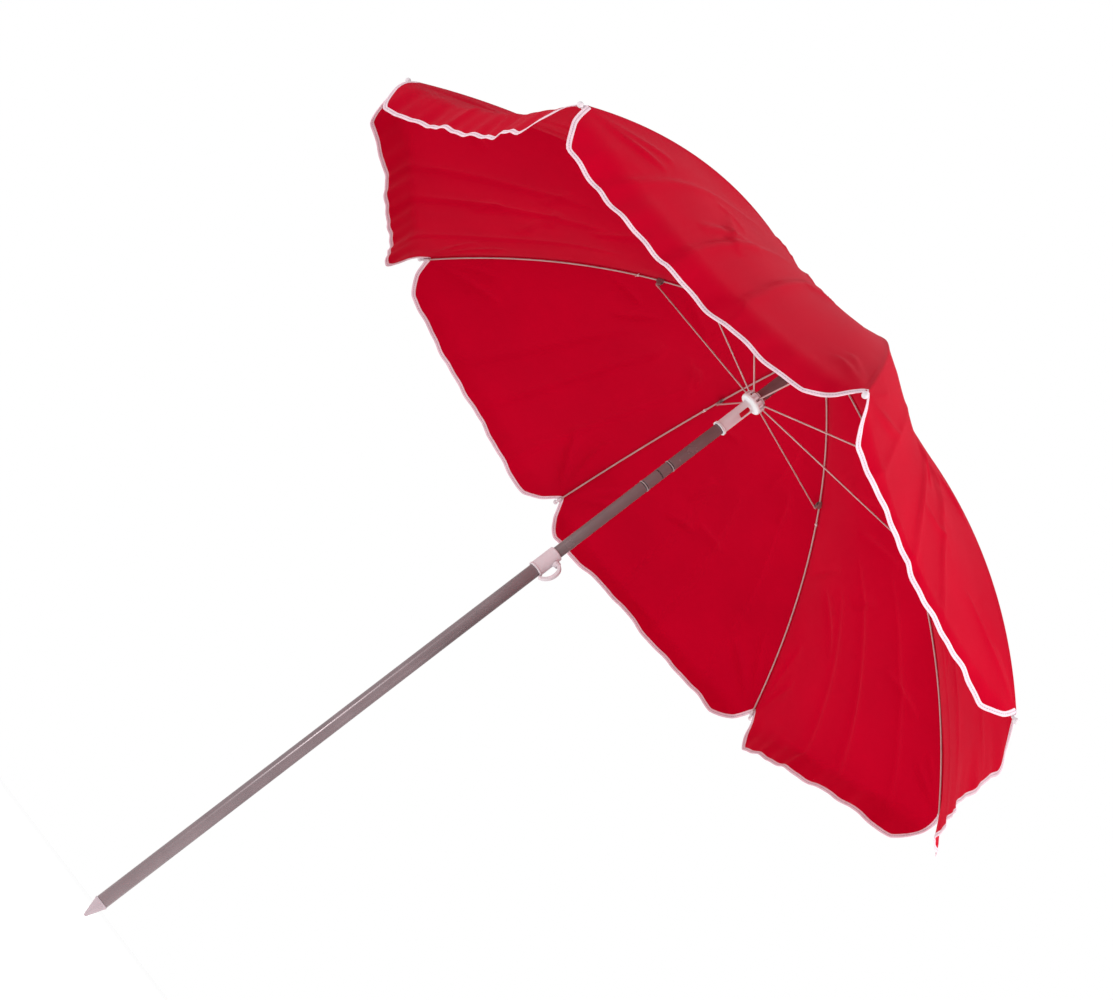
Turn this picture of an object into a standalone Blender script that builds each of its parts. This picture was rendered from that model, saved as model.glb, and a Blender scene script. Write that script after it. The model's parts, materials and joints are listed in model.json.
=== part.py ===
"""Beach umbrella with eight ribs: a ground spike, a telescoping pole with a clamp collar, a tilt joint,
a runner that folds the frame, and a canopy in eight sectors, one on each rib. Metres, +Z up the pole."""

import math

import bmesh
import bpy
from mathutils import Matrix, Vector

GAP = 0.0003
RIBS = 8
STEP_ANGLE = 2 * math.pi / RIBS
HALF_PANEL = STEP_ANGLE / 2
SHARP_ANGLE = math.radians(50)

# Pole
LOWER_R = 0.0125
UPPER_R = 0.0110
WALL = 0.0010
SPIKE_LENGTH = 0.035
SPIKE_RIM_R = 0.0135
LOWER_TOP_Z = 0.9845
UPPER_FOOT_Z = 0.640

# Clamp collar and its screw
COLLAR_Z = (0.9586, 1.0085)
COLLAR_R = 0.0146
CLAMP_ANGLE = math.radians(150)
CLAMP_Z = 0.994
BOSS_R = 0.0072
BOSS_FACE = 0.0175
SCREW_R = 0.0030

# Tilt joint
TILT_Z = 1.2483
BEAD_LOW_Z = 1.2126
BEAD_HIGH_Z = 1.2740
PLUG_R = UPPER_R - WALL - 0.0004
TONGUE_HALF = 0.0030
TILT_PIN_R = 0.0020

# Ribs: each one an arc whose slope grows from the notch to the tip
TIP_R = 0.820
TIP_Z = 1.297
ROOT_R = 0.0185
ROOT_SLOPE = math.radians(3)
TIP_SLOPE = math.radians(44)
RIB_R = 0.00175
STRETCHER_R = 0.0016
EYE_R = 0.0031
BEND_R = (TIP_R - ROOT_R) / (math.sin(TIP_SLOPE) - math.sin(ROOT_SLOPE))
RIB_LENGTH = BEND_R * (TIP_SLOPE - ROOT_SLOPE)
RIB_TOP_Z = TIP_Z + BEND_R * (math.cos(ROOT_SLOPE) - math.cos(TIP_SLOPE))
NOTCH_Z = RIB_TOP_Z - EYE_R
CLIP_RADIUS = 0.3813
CLIP_DROP = 0.0100
CLIP_PIN_R = 0.0011
TIP_CAP_LENGTH = 0.014

# Runner
RUNNER_LOW_Z = 1.3917
RUNNER_RISE = 0.0056
RUNNER_BORE = 0.0113
RUNNER_R = 0.0124
HEAD_R = 0.0230
SLOT_HALF = 0.0022
CATCH_ANGLE = math.radians(110)
CATCH_Z = (1.4405, 1.4565)
CATCH_HALF = 0.0026
WINDOW_HALF = 0.0050
STOP_ANGLE = math.radians(130)
STOP_Z = 1.494

# Canopy
CLOTH = 0.0012
CLOTH_LIFT = 0.0054
SAG_SHARE = 0.058
FLAP_DEPTHS = (0.093, 0.086, 0.051, 0.083, 0.079, 0.066, 0.061, 0.090)
FLAP_CORNER = 0.070
FLAP_NOTCH = 0.010
FLAP_ROUNDING = 1.25
FLAP_SLOPES = tuple(math.radians(slope) for slope in (91, 67, 91, 36, 91, 91, 64, 88))
FLAP_BEND = 0.030
CROWN_HOLE_R = 0.0060
NOTCH_CLEAR = 0.0062

COLOURS = {
    "pole_paint": ((0.262, 0.175, 0.191), 0.35, 0.6),
    "white_plastic": ((0.80, 0.70, 0.72), 0.45, 0.0),
    "red_plastic": ((0.45, 0.0, 0.02), 0.45, 0.0),
    "steel": ((0.30, 0.26, 0.26), 0.35, 1.0),
    "zinc": ((0.72, 0.72, 0.74), 0.3, 1.0),
    "red_cloth": ((0.48, 0.0, 0.03), 0.85, 0.0),
}


def material(name):
    """The named Principled material, made once."""
    if name in bpy.data.materials:
        return bpy.data.materials[name]
    colour, roughness, metallic = COLOURS[name]
    mat = bpy.data.materials.new(name)
    mat.use_nodes = True
    shader = mat.node_tree.nodes["Principled BSDF"]
    shader.inputs["Base Color"].default_value = (*colour, 1.0)
    shader.inputs["Roughness"].default_value = roughness
    shader.inputs["Metallic"].default_value = metallic
    return mat


def collection(name):
    """A new collection in the scene."""
    made = bpy.data.collections.new(name)
    bpy.context.scene.collection.children.link(made)
    return made


def add(name, data, mat, into):
    """A new object of some data, with its material, in a collection."""
    obj = bpy.data.objects.new(name, data)
    data.materials.clear()
    data.materials.append(material(mat))
    into.objects.link(obj)
    return obj


def turned(name, profile, mat, into, steps=24, closed=True, base=0.0):
    """A profile of (radius, height) turned about Z, with its origin at height base."""
    mesh = bpy.data.meshes.new(name)
    points = [(r, 0.0, z - base) for r, z in profile]
    edges = [(i, i + 1) for i in range(len(points) - 1)]
    if closed:
        edges.append((len(points) - 1, 0))
    mesh.from_pydata(points, edges, [])
    obj = add(name, mesh, mat, into)
    obj.location.z = base
    turn = obj.modifiers.new("turn", "SCREW")
    turn.angle = 2 * math.pi
    turn.steps = turn.render_steps = steps
    turn.use_merge_vertices = True
    turn.merge_threshold = 0.00001
    turn.use_smooth_shade = True
    return obj


def tube(name, outer, inner, low, high, mat, into, steps=24):
    """A plain tube from low to high."""
    return turned(name, [(outer, high), (outer, low), (inner, low), (inner, high)], mat, into, steps)


def boxes(name, blocks, into):
    """A cutter of several boxes, each (low corner, high corner, turn about Z)."""
    bm = bmesh.new()
    for low, high, angle in blocks:
        middle = (Vector(low) + Vector(high)) / 2
        size = Vector(high) - Vector(low)
        place = Matrix.Rotation(angle, 4, "Z") @ Matrix.Translation(middle) @ Matrix.Diagonal((*size, 1))
        bmesh.ops.create_cube(bm, size=1.0, matrix=place)
    mesh = bpy.data.meshes.new(name)
    bm.to_mesh(mesh)
    bm.free()
    return hide(add(name, mesh, "steel", into))


def soften(mesh):
    """Shade a mesh smooth, keeping its true edges sharp."""
    mesh.shade_smooth()
    mesh.set_sharp_from_angle(angle=SHARP_ANGLE)


def rod_mesh(name, radius, start, end, sides=12):
    """A mesh cylinder between two points."""
    start, end = Vector(start), Vector(end)
    bm = bmesh.new()
    turn = (end - start).to_track_quat("Z", "Y").to_matrix().to_4x4()
    place = Matrix.Translation((start + end) / 2) @ turn
    bmesh.ops.create_cone(bm, cap_ends=True, segments=sides, radius1=radius, radius2=radius,
                          depth=(end - start).length, matrix=place)
    mesh = bpy.data.meshes.new(name)
    bm.to_mesh(mesh)
    bm.free()
    soften(mesh)
    return mesh


def hide(obj):
    """Mark an object as a cutter."""
    obj.hide_render = True
    obj.display_type = "WIRE"
    return obj


def boolean(obj, other, operation):
    """Add an exact Boolean modifier."""
    cut = obj.modifiers.new(operation.lower(), "BOOLEAN")
    cut.operation = operation
    cut.object = other
    cut.solver = "EXACT"


def wire_mesh(name, points, radius, sides_level=2, extrude=0.0):
    """A round wire through points, as a mesh with its caps welded."""
    curve = bpy.data.curves.new(name, "CURVE")
    curve.dimensions = "3D"
    curve.bevel_depth = radius
    curve.bevel_resolution = sides_level
    curve.extrude = extrude
    curve.use_fill_caps = True
    spline = curve.splines.new("POLY")
    spline.points.add(len(points) - 1)
    for point, (x, y, z) in zip(spline.points, points):
        point.co = (x, y, z, 1)
    holder = bpy.data.objects.new(name, curve)
    bpy.context.scene.collection.objects.link(holder)
    bpy.context.view_layer.update()
    mesh = bpy.data.meshes.new_from_object(holder.evaluated_get(bpy.context.evaluated_depsgraph_get()))
    bm = bmesh.new()
    bm.from_mesh(mesh)
    bmesh.ops.remove_doubles(bm, verts=bm.verts, dist=0.00001)
    bmesh.ops.recalc_face_normals(bm, faces=bm.faces)
    bm.to_mesh(mesh)
    bm.free()
    bpy.data.objects.remove(holder)
    mesh.name = name
    soften(mesh)
    return mesh


def ring_wire(name, ring_r, wire_r, height, mat, into):
    """A round wire ring about the pole."""
    sides = 6
    profile = [(ring_r + wire_r * math.cos(a), height + wire_r * math.sin(a))
               for a in (-2 * math.pi * i / sides for i in range(sides))]
    return turned(name, profile, mat, into)


def rib_point(arc):
    """(radius, height, slope) of a rib's centre line at a distance along it."""
    slope = ROOT_SLOPE + arc / BEND_R
    radius = ROOT_R + BEND_R * (math.sin(slope) - math.sin(ROOT_SLOPE))
    height = RIB_TOP_Z - BEND_R * (math.cos(ROOT_SLOPE) - math.cos(slope))
    return radius, height, slope


def clip_arc():
    """Distance along the rib of its stretcher clip."""
    return BEND_R * (math.asin(math.sin(ROOT_SLOPE) + (CLIP_RADIUS - ROOT_R) / BEND_R) - ROOT_SLOPE)


def clip_pivot():
    """(radius, height) of the pin that joins a rib and its stretcher."""
    radius, height, slope = rib_point(clip_arc())
    return radius - CLIP_DROP * math.sin(slope), height - CLIP_DROP * math.cos(slope)


def runner_pivot_z():
    """Height of the stretchers' inner ends: as far under the clips as the notch is above them."""
    return 2 * clip_pivot()[1] - NOTCH_Z


def around(radius, height, angle):
    """A point in the world from its radius, height and angle about the pole."""
    return Vector((radius * math.cos(angle), radius * math.sin(angle), height))


def spike(into):
    """Moulded cone with a plug that fits the lower pole."""
    plug_r = LOWER_R - WALL - GAP
    profile = [(0, 0), (0.0022, 0.0006), (0.0034, 0.0030), (SPIKE_RIM_R - 0.0008, SPIKE_LENGTH - 0.003),
               (SPIKE_RIM_R, SPIKE_LENGTH - 0.002), (SPIKE_RIM_R, SPIKE_LENGTH),
               (plug_r, SPIKE_LENGTH), (plug_r, SPIKE_LENGTH + 0.038), (0, SPIKE_LENGTH + 0.040)]
    turned("ground_spike", profile[::-1], "white_plastic", into, closed=False)


def lower_pole(into):
    """Outer tube, from the spike to the shoulder inside the collar."""
    tube("lower_pole", LOWER_R, LOWER_R - WALL, SPIKE_LENGTH + GAP, LOWER_TOP_Z, "pole_paint", into)


def collar(into, cutters):
    """Moulded sleeve over the lower pole's end, with a boss for the clamp screw."""
    low, high = COLLAR_Z
    shoulder = LOWER_TOP_Z + 0.0005
    lower_bore, upper_bore = LOWER_R + GAP, UPPER_R + GAP
    profile = [(COLLAR_R - 0.0012, high), (COLLAR_R - 0.0002, high - 0.0012), (COLLAR_R, low + 0.0045),
               (COLLAR_R + 0.0008, low + 0.0035), (COLLAR_R + 0.0008, low + 0.0006),
               (COLLAR_R + 0.0002, low), (lower_bore, low), (lower_bore, shoulder),
               (upper_bore, shoulder), (upper_bore, high)]
    sleeve = turned("height_collar", profile, "white_plastic", into)
    boss = rod_mesh("boss_shape", BOSS_R, around(lower_bore + 0.0009, CLAMP_Z, CLAMP_ANGLE),
                    around(BOSS_FACE, CLAMP_Z, CLAMP_ANGLE), 20)
    boolean(sleeve, hide(add("boss_shape", boss, "white_plastic", cutters)), "UNION")
    hole = rod_mesh("clamp_hole", SCREW_R + GAP, around(0.008, CLAMP_Z, CLAMP_ANGLE),
                    around(BOSS_FACE + 0.005, CLAMP_Z, CLAMP_ANGLE), 16)
    boolean(sleeve, hide(add("clamp_hole", hole, "steel", cutters)), "DIFFERENCE")


def clamp_screw(into, cutters):
    """Thumb screw whose head is a hooked handle that lies along the pole."""
    outward = [0.0180, 0.0232, 0.0280, 0.0312, 0.0322, 0.0308, 0.0270, 0.0215, 0.0158]
    along = [0.0, 0.0002, -0.0030, -0.0085, -0.0165, -0.0250, -0.0320, -0.0372, -0.0398]
    path = [(out, up, 0.0) for out, up in zip(outward, along)]
    handle = wire_mesh("clamp_screw", path, 0.0024, 2, extrude=0.0020)
    flat_to_pole = Matrix.Rotation(CLAMP_ANGLE, 4, "Z") @ Matrix.Rotation(math.radians(90), 4, "X")
    obj = add("clamp_screw", handle, "white_plastic", into)
    handle.transform(flat_to_pole)
    obj.location.z = CLAMP_Z
    shank = rod_mesh("shank_shape", SCREW_R, around(UPPER_R + GAP, CLAMP_Z, CLAMP_ANGLE),
                     around(0.0205, CLAMP_Z, CLAMP_ANGLE), 16)
    boolean(obj, hide(add("shank_shape", shank, "white_plastic", cutters)), "UNION")
    head = rod_mesh("screw_head_shape", BOSS_R - 0.0010, around(BOSS_FACE + GAP, CLAMP_Z, CLAMP_ANGLE),
                    around(BOSS_FACE + 0.0040, CLAMP_Z, CLAMP_ANGLE), 20)
    boolean(obj, hide(add("screw_head_shape", head, "white_plastic", cutters)), "UNION")


def crimped(outer, inner, low, high, bead):
    """Outline of a tube with a crimped bead between two grooves."""
    deep, half = outer - 0.0004, 0.0012
    marks = [(outer, high), (outer, bead + 3 * half), (deep, bead + 2.4 * half), (deep, bead + 1.6 * half),
             (outer, bead + half), (outer, bead - half), (deep, bead - 1.6 * half),
             (deep, bead - 2.4 * half), (outer, bead - 3 * half), (outer, low), (inner, low), (inner, high)]
    return marks


def mid_pole(into):
    """Inner tube, from inside the lower pole up to the tilt joint."""
    profile = crimped(UPPER_R, UPPER_R - WALL, UPPER_FOOT_Z, TILT_Z, BEAD_LOW_Z)
    turned("mid_pole", profile, "pole_paint", into)


def top_pole(into, cutters):
    """Inner tube above the tilt joint, with the catch's slot and the stop rivet's hole."""
    top = NOTCH_Z + 0.0035
    profile = crimped(UPPER_R, UPPER_R - WALL, TILT_Z + GAP, top, BEAD_HIGH_Z)
    pole = turned("top_pole", profile, "pole_paint", into)
    low, high = CATCH_Z
    half = CATCH_HALF + GAP
    slot = boxes("catch_slot", [((0.005, -half, low - 0.0008), (0.013, half, high + 0.0008), CATCH_ANGLE)],
                 cutters)
    boolean(pole, slot, "DIFFERENCE")
    reach = UPPER_R + 0.003
    hole = rod_mesh("rivet_hole", 0.0013 + GAP, around(-reach, STOP_Z, STOP_ANGLE),
                    around(reach, STOP_Z, STOP_ANGLE), 10)
    boolean(pole, hide(add("rivet_hole", hole, "steel", cutters)), "DIFFERENCE")


def tilt_parts(into, cutters):
    """Crimped plug with two ears, cross pin, sliding tongue, upper plug and return spring."""
    slot_half = TONGUE_HALF + GAP
    ear_top, plug_foot = TILT_Z + 0.0044, TILT_Z - 0.048
    plug_profile = [(0, ear_top), (PLUG_R, ear_top), (PLUG_R, plug_foot), (0, plug_foot)]
    plug = turned("tilt_plug", plug_profile, "zinc", into, closed=False, base=TILT_Z)
    edge, side, far, high, ear_foot = 0.0050, 0.0078, 0.02, TILT_Z + 0.012, TILT_Z - 0.0010
    blocks = [((-far, -slot_half, TILT_Z - 0.0085), (far, slot_half, high), 0),
              ((edge, -far, ear_foot), (far, far, high), 0), ((-far, -far, ear_foot), (-edge, far, high), 0),
              ((-far, side, ear_foot), (far, far, high), 0), ((-far, -far, ear_foot), (far, -side, high), 0)]
    for number, block in enumerate(blocks):
        boolean(plug, boxes(f"ear_cut_{number}", [block], cutters), "DIFFERENCE")
    hole = rod_mesh("ear_hole", TILT_PIN_R + GAP, (0, -0.012, TILT_Z), (0, 0.012, TILT_Z), 16)
    boolean(plug, hide(add("ear_hole", hole, "steel", cutters)), "DIFFERENCE")

    pin = rod_mesh("tilt_pin", TILT_PIN_R, (0, -0.0076, 0), (0, 0.0076, 0), 16)
    add("tilt_pin", pin, "steel", into).location.z = TILT_Z

    eye = rod_mesh("tilt_tongue", 0.0048, (0, -TONGUE_HALF, 0), (0, TONGUE_HALF, 0), 20)
    tongue = add("tilt_tongue", eye, "zinc", into)
    tongue.location.z = TILT_Z
    flat = boxes("tongue_flat", [((-0.0046, -TONGUE_HALF, TILT_Z), (0.0046, TONGUE_HALF, TILT_Z + 0.0175), 0)],
                 cutters)
    boolean(tongue, flat, "UNION")
    rod = rod_mesh("tongue_rod", 0.0026, (0, 0, TILT_Z + 0.010), (0, 0, TILT_Z + 0.066), 12)
    boolean(tongue, hide(add("tongue_rod", rod, "zinc", cutters)), "UNION")
    nut = rod_mesh("tongue_nut", 0.0075, (0, 0, TILT_Z + 0.064), (0, 0, TILT_Z + 0.069), 12)
    boolean(tongue, hide(add("tongue_nut", nut, "zinc", cutters)), "UNION")
    bore = rod_mesh("tongue_hole", TILT_PIN_R + GAP, (0, -0.012, TILT_Z), (0, 0.012, TILT_Z), 16)
    boolean(tongue, hide(add("tongue_hole", bore, "steel", cutters)), "DIFFERENCE")

    tube("tilt_upper_plug", PLUG_R, 0.0030, TILT_Z + 0.0200, TILT_Z + 0.0320, "zinc", into, steps=20)

    coils, per_turn, coil_r = 7, 8, 0.0052
    low, high = TILT_Z + 0.0331, TILT_Z + 0.0629
    points = []
    for i in range(coils * per_turn + 1):
        turn = 2 * math.pi * i / per_turn
        height = low + (high - low) * i / (coils * per_turn)
        points.append((coil_r * math.cos(turn), coil_r * math.sin(turn), height))
    add("tilt_spring", wire_mesh("tilt_spring", points, 0.0006, 1), "steel", into)


def runner(into, cutters):
    """Sliding sleeve: a lipped grip below and a slotted head for the stretchers above."""
    pivot = runner_pivot_z()
    low, high = RUNNER_LOW_Z, pivot + RUNNER_RISE
    profile = [(0.0170, high), (0.0175, pivot + 0.0042), (0.0175, pivot + 0.0022), (0.0137, pivot + 0.0022),
               (0.0137, pivot - 0.0015), (0.0164, pivot - 0.0015), (0.0164, pivot + 0.0010),
               (HEAD_R - 0.0008, pivot + 0.0010), (HEAD_R, pivot + 0.0002), (HEAD_R, pivot - 0.0085),
               (0.0205, pivot - 0.0125), (0.0145, pivot - 0.0155), (RUNNER_R, pivot - 0.0175),
               (RUNNER_R, low + 0.0060), (0.0136, low + 0.0050), (0.0142, low + 0.0040),
               (0.0134, low + 0.0030), (0.0142, low + 0.0016), (0.0142, low), (RUNNER_BORE, low),
               (RUNNER_BORE, high)]
    sleeve = turned("runner", profile, "white_plastic", into)
    slots = [((0.0155, -SLOT_HALF, pivot - 0.020), (0.030, SLOT_HALF, pivot + 0.0016), k * STEP_ANGLE)
             for k in range(RIBS)]
    boolean(sleeve, boxes("stretcher_slots", slots, cutters), "DIFFERENCE")
    bottom, top = CATCH_Z
    window = [((0.0080, -WINDOW_HALF, bottom - 0.0040), (0.016, WINDOW_HALF, top + 0.0013), CATCH_ANGLE)]
    boolean(sleeve, boxes("catch_window", window, cutters), "DIFFERENCE")
    ring_wire("runner_wire", 0.01505, 0.0009, pivot - 0.0002, "steel", into)


def runner_catch(into):
    """Sprung tooth in the pole that holds the runner up through its window."""
    low, high = CATCH_Z
    outline = [(0.0062, low), (0.0112, low), (0.0122, low + 0.0040), (0.0122, high), (0.0062, high)]
    curve = bpy.data.curves.new("runner_catch", "CURVE")
    curve.dimensions = "2D"
    curve.fill_mode = "BOTH"
    curve.extrude = CATCH_HALF
    spline = curve.splines.new("POLY")
    spline.points.add(len(outline) - 1)
    for point, (r, z) in zip(spline.points, outline):
        point.co = (r, z - CATCH_Z[0], 0, 1)
    spline.use_cyclic_u = True
    tooth = add("runner_catch", curve, "red_plastic", into)
    tooth.matrix_world = (Matrix.Translation((0, 0, CATCH_Z[0])) @ Matrix.Rotation(CATCH_ANGLE, 4, "Z")
                          @ Matrix.Rotation(math.radians(90), 4, "X"))
    weld = tooth.modifiers.new("weld", "WELD")
    weld.merge_threshold = 0.00001


def stop_rivet(into, cutters):
    """Cross rivet that stops the runner's upward travel."""
    head = UPPER_R + 0.0003
    shank = rod_mesh("stop_rivet", 0.0013, around(-head - 0.0005, 0, STOP_ANGLE),
                     around(head + 0.0005, 0, STOP_ANGLE), 10)
    rivet = add("stop_rivet", shank, "zinc", into)
    rivet.location.z = STOP_Z
    for side in (-1, 1):
        cap = rod_mesh("rivet_head", 0.0024, around(side * head, STOP_Z, STOP_ANGLE),
                       around(side * (head + 0.0012), STOP_Z, STOP_ANGLE), 12)
        boolean(rivet, hide(add(f"rivet_head_{side + 1}", cap, "zinc", cutters)), "UNION")


def top_notch(into, cutters):
    """Slotted hub on the pole's top end that the ribs turn on, its wire ring and the cap above."""
    low, high = NOTCH_Z - 0.0105, NOTCH_Z + 0.0054
    pole_top = NOTCH_Z + 0.0035 + GAP
    hub_r = UPPER_R + GAP
    groove = (ROOT_R - 0.0014, ROOT_R + 0.0014)
    profile = [(groove[0], high), (groove[0], NOTCH_Z - 0.0014), (groove[1], NOTCH_Z - 0.0014),
               (groove[1], high), (HEAD_R - 0.0006, high), (HEAD_R, high - 0.0006), (HEAD_R, low + 0.0010),
               (HEAD_R - 0.0010, low), (hub_r, low), (hub_r, pole_top), (0.0029, pole_top), (0.0029, high)]
    hub = turned("top_notch", profile[::-1], "white_plastic", into)
    slots = [((0.0133, -SLOT_HALF, low - 0.002), (0.030, SLOT_HALF, high + 0.002), k * STEP_ANGLE)
             for k in range(RIBS)]
    boolean(hub, boxes("rib_slots", slots, cutters), "DIFFERENCE")
    ring_wire("notch_wire", ROOT_R, 0.0010, NOTCH_Z, "steel", into)

    deck = high + 0.0062
    cap = [(0, deck + 0.024), (0.0035, deck + 0.0232), (0.0058, deck + 0.0200), (0.0058, deck + 0.0160),
           (0.0042, deck + 0.0120), (0.0052, deck + 0.0075), (0.0150, deck + 0.0045), (0.0215, deck + 0.0012),
           (0.0215, deck), (0.0026, deck), (0.0026, pole_top + 0.0010), (0, pole_top + 0.0010)]
    turned("top_cap", cap, "white_plastic", into, closed=False, base=high)


def ribs(into):
    """Eight bowed steel wires, each with a hook eye round the notch wire."""
    points = []
    for i in range(7):
        turn = math.radians(330 - 40 * i)
        points.append((EYE_R * math.cos(turn), 0.0, EYE_R * math.sin(turn)))
    count = 14
    for i in range(1, count + 1):
        radius, height, _ = rib_point(RIB_LENGTH * i / count)
        points.append((radius - ROOT_R, 0.0, height - NOTCH_Z))
    mesh = wire_mesh("rib", points, RIB_R)
    for k in range(RIBS):
        rib = add(f"rib_{k + 1}", mesh, "steel", into)
        rib.location = around(ROOT_R, NOTCH_Z, k * STEP_ANGLE)
        rib.rotation_euler.z = k * STEP_ANGLE


def stretchers(into):
    """Eight straight wires from the clips to the runner, each with a hook eye at the clip."""
    radius, height = clip_pivot()
    inner = Vector((ROOT_R - radius, 0.0, runner_pivot_z() - height))
    along = inner.normalized()
    below = Vector((along.z, 0.0, -along.x))
    if below.z > 0:
        below.negate()
    points = []
    for i in range(7):
        turn = math.radians(240 - 40 * i)
        points.append(EYE_R * (math.cos(turn) * below - math.sin(turn) * along))
    points.append(inner)
    mesh = wire_mesh("stretcher", [tuple(p) for p in points], STRETCHER_R)
    for k in range(RIBS):
        wire = add(f"stretcher_{k + 1}", mesh, "steel", into)
        wire.location = around(radius, height, k * STEP_ANGLE)
        wire.rotation_euler.z = k * STEP_ANGLE


def rib_clips(into, cutters):
    """Eight folded steel saddles over the ribs, each with the rivet that its stretcher turns on."""
    top, skirt, half = RIB_R + GAP + 0.0009, -CLIP_DROP - 0.0030, 0.0029
    inside = 0.0020
    radius, height, slope = rib_point(clip_arc())
    shape = boxes("clip_shape", [((-0.0085, -half, skirt), (0.0085, half, top), 0)], cutters)
    channel = boxes("clip_channel", [((-0.02, -inside, skirt - 0.01), (0.02, inside, RIB_R + GAP), 0)], cutters)
    boolean(shape, channel, "DIFFERENCE")
    pin = rod_mesh("clip_pin", CLIP_PIN_R, (0, -half + 0.0003, -CLIP_DROP), (0, half - 0.0003, -CLIP_DROP), 10)
    boolean(shape, hide(add("clip_pin", pin, "steel", cutters)), "UNION")
    bpy.context.view_layer.update()
    seen = shape.evaluated_get(bpy.context.evaluated_depsgraph_get())
    mesh = bpy.data.meshes.new_from_object(seen)
    mesh.name = "rib_clip"
    for k in range(RIBS):
        clip = add(f"rib_clip_{k + 1}", mesh, "steel", into)
        clip.location = around(radius, height, k * STEP_ANGLE)
        clip.rotation_euler = (0.0, slope, k * STEP_ANGLE)


def rib_tips(into):
    """Eight moulded caps with a ball end, one on each rib's end."""
    bore, mouth = RIB_R + 2 * GAP, -TIP_CAP_LENGTH + GAP
    profile = [(0, 0.0092), (0.0026, 0.0085), (0.0040, 0.0054), (0.0030, 0.0014),
               (0.0029, mouth), (bore, mouth), (bore, GAP), (0, GAP)]
    made = turned("rib_tip", profile, "white_plastic", into, steps=10, closed=False)
    bpy.context.view_layer.update()
    mesh = bpy.data.meshes.new_from_object(made.evaluated_get(bpy.context.evaluated_depsgraph_get()))
    bpy.data.objects.remove(made)
    radius, height, slope = rib_point(RIB_LENGTH)
    for k in range(RIBS):
        tip = add(f"rib_tip_{k + 1}", mesh, "white_plastic", into)
        tip.location = around(radius, height, k * STEP_ANGLE)
        tip.rotation_euler = (0.0, slope + math.radians(90), k * STEP_ANGLE)


def cloth_lift(arc):
    """Height of the cloth over a rib's centre line: more at the notch, which stands higher."""
    return CLOTH_LIFT + (NOTCH_CLEAR - CLOTH_LIFT) * max(0.0, 1 - arc / 0.075) ** 2


def flap(aside, depth):
    """How far the hem reaches past a rib's end, at a distance aside from the notch at the tip."""
    share = min(aside / FLAP_CORNER, 1.0)
    rounded = (1 - (1 - share) ** FLAP_ROUNDING) ** (1 / FLAP_ROUNDING)
    return (depth + FLAP_NOTCH) * rounded - FLAP_NOTCH


def cloth_line(arc, hang):
    """(radius, height, slope) of the cloth over a rib, carried on past the tip down a flap that hangs."""
    radius, height, slope = rib_point(min(arc, RIB_LENGTH))
    past = max(0.0, arc - RIB_LENGTH)
    turned = (hang - slope) * min(past / FLAP_BEND, 1.0)
    middle = slope + turned * (0.5 if past < FLAP_BEND else 1 - 0.5 * FLAP_BEND / past)
    lift = cloth_lift(arc)
    radius += past * math.cos(middle) + lift * math.sin(slope)
    height += -past * math.sin(middle) + lift * math.cos(slope)
    return radius, height, slope + turned


def cloth_point(arc, share, hang):
    """A point of the canopy at a distance down the rib and a share, -1 to 1, of the half panel."""
    radius, height, slope = cloth_line(arc, hang)
    side = math.copysign(1.0, share)
    turn = side * STEP_ANGLE
    away = abs(share) / 2
    x = radius * (1 - away) + radius * math.cos(turn) * away
    y = radius * math.sin(turn) * away
    sag = SAG_SHARE * 2 * radius * math.sin(HALF_PANEL) * (2 * abs(share) - share * share)
    out = sag * math.sin(slope)
    middle = side * HALF_PANEL
    return Vector((x - out * math.cos(middle), y - out * math.sin(middle), height - sag * math.cos(slope)))


def canopy_mesh(name, panels):
    """One sector's surface, from the middle of one panel to the middle of the next."""
    rows, hem_rows, columns = 14, 5, 8
    bm = bmesh.new()
    bmesh.ops.create_grid(bm, x_segments=rows, y_segments=columns, size=0.5)
    half_chord = TIP_R * math.sin(HALF_PANEL)
    start, knee = CROWN_HOLE_R - ROOT_R, RIB_LENGTH - FLAP_BEND
    turn_at = 1 - hem_rows / rows
    for vert in bm.verts:
        down, across = vert.co.x + 0.5, vert.co.y * 2
        spread = math.copysign(abs(across) ** 2, across)
        panel = panels[0] if spread < 0 else panels[1]
        reach = RIB_LENGTH + flap(abs(spread) * half_chord, FLAP_DEPTHS[panel])
        edge_room = GAP * 0.7 * abs(spread) ** 4
        if down <= turn_at:
            arc = start + (knee - start) * down / turn_at
        else:
            arc = knee + (reach - knee) * (down - turn_at) / (1 - turn_at)
        point = cloth_point(arc, spread, FLAP_SLOPES[panel])
        vert.co = point - Vector((0.0, math.copysign(edge_room, spread), 0.0))
    bmesh.ops.recalc_face_normals(bm, faces=bm.faces)
    if sum(face.normal.z for face in bm.faces) < 0:
        bmesh.ops.reverse_faces(bm, faces=bm.faces)
    mesh = bpy.data.meshes.new(name)
    bm.to_mesh(mesh)
    bm.free()
    return mesh


def canopy(into):
    """Eight closed cloth sectors, one over each rib, that meet in the middle of the panels."""
    for k in range(RIBS):
        name = f"canopy_{k + 1}"
        sector = add(name, canopy_mesh(name, (k - 1, k)), "red_cloth", into)
        sector.rotation_euler.z = k * STEP_ANGLE
        thick = sector.modifiers.new("thickness", "SOLIDIFY")
        thick.thickness = CLOTH
        thick.offset = 0.0


def main():
    for obj in list(bpy.data.objects):
        bpy.data.objects.remove(obj)
    parts, cutters = collection("beach_umbrella"), collection("cutters")
    spike(parts)
    lower_pole(parts)
    collar(parts, cutters)
    clamp_screw(parts, cutters)
    mid_pole(parts)
    tilt_parts(parts, cutters)
    top_pole(parts, cutters)
    runner(parts, cutters)
    runner_catch(parts)
    stop_rivet(parts, cutters)
    top_notch(parts, cutters)
    ribs(parts)
    stretchers(parts)
    rib_clips(parts, cutters)
    rib_tips(parts)
    canopy(parts)


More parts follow.
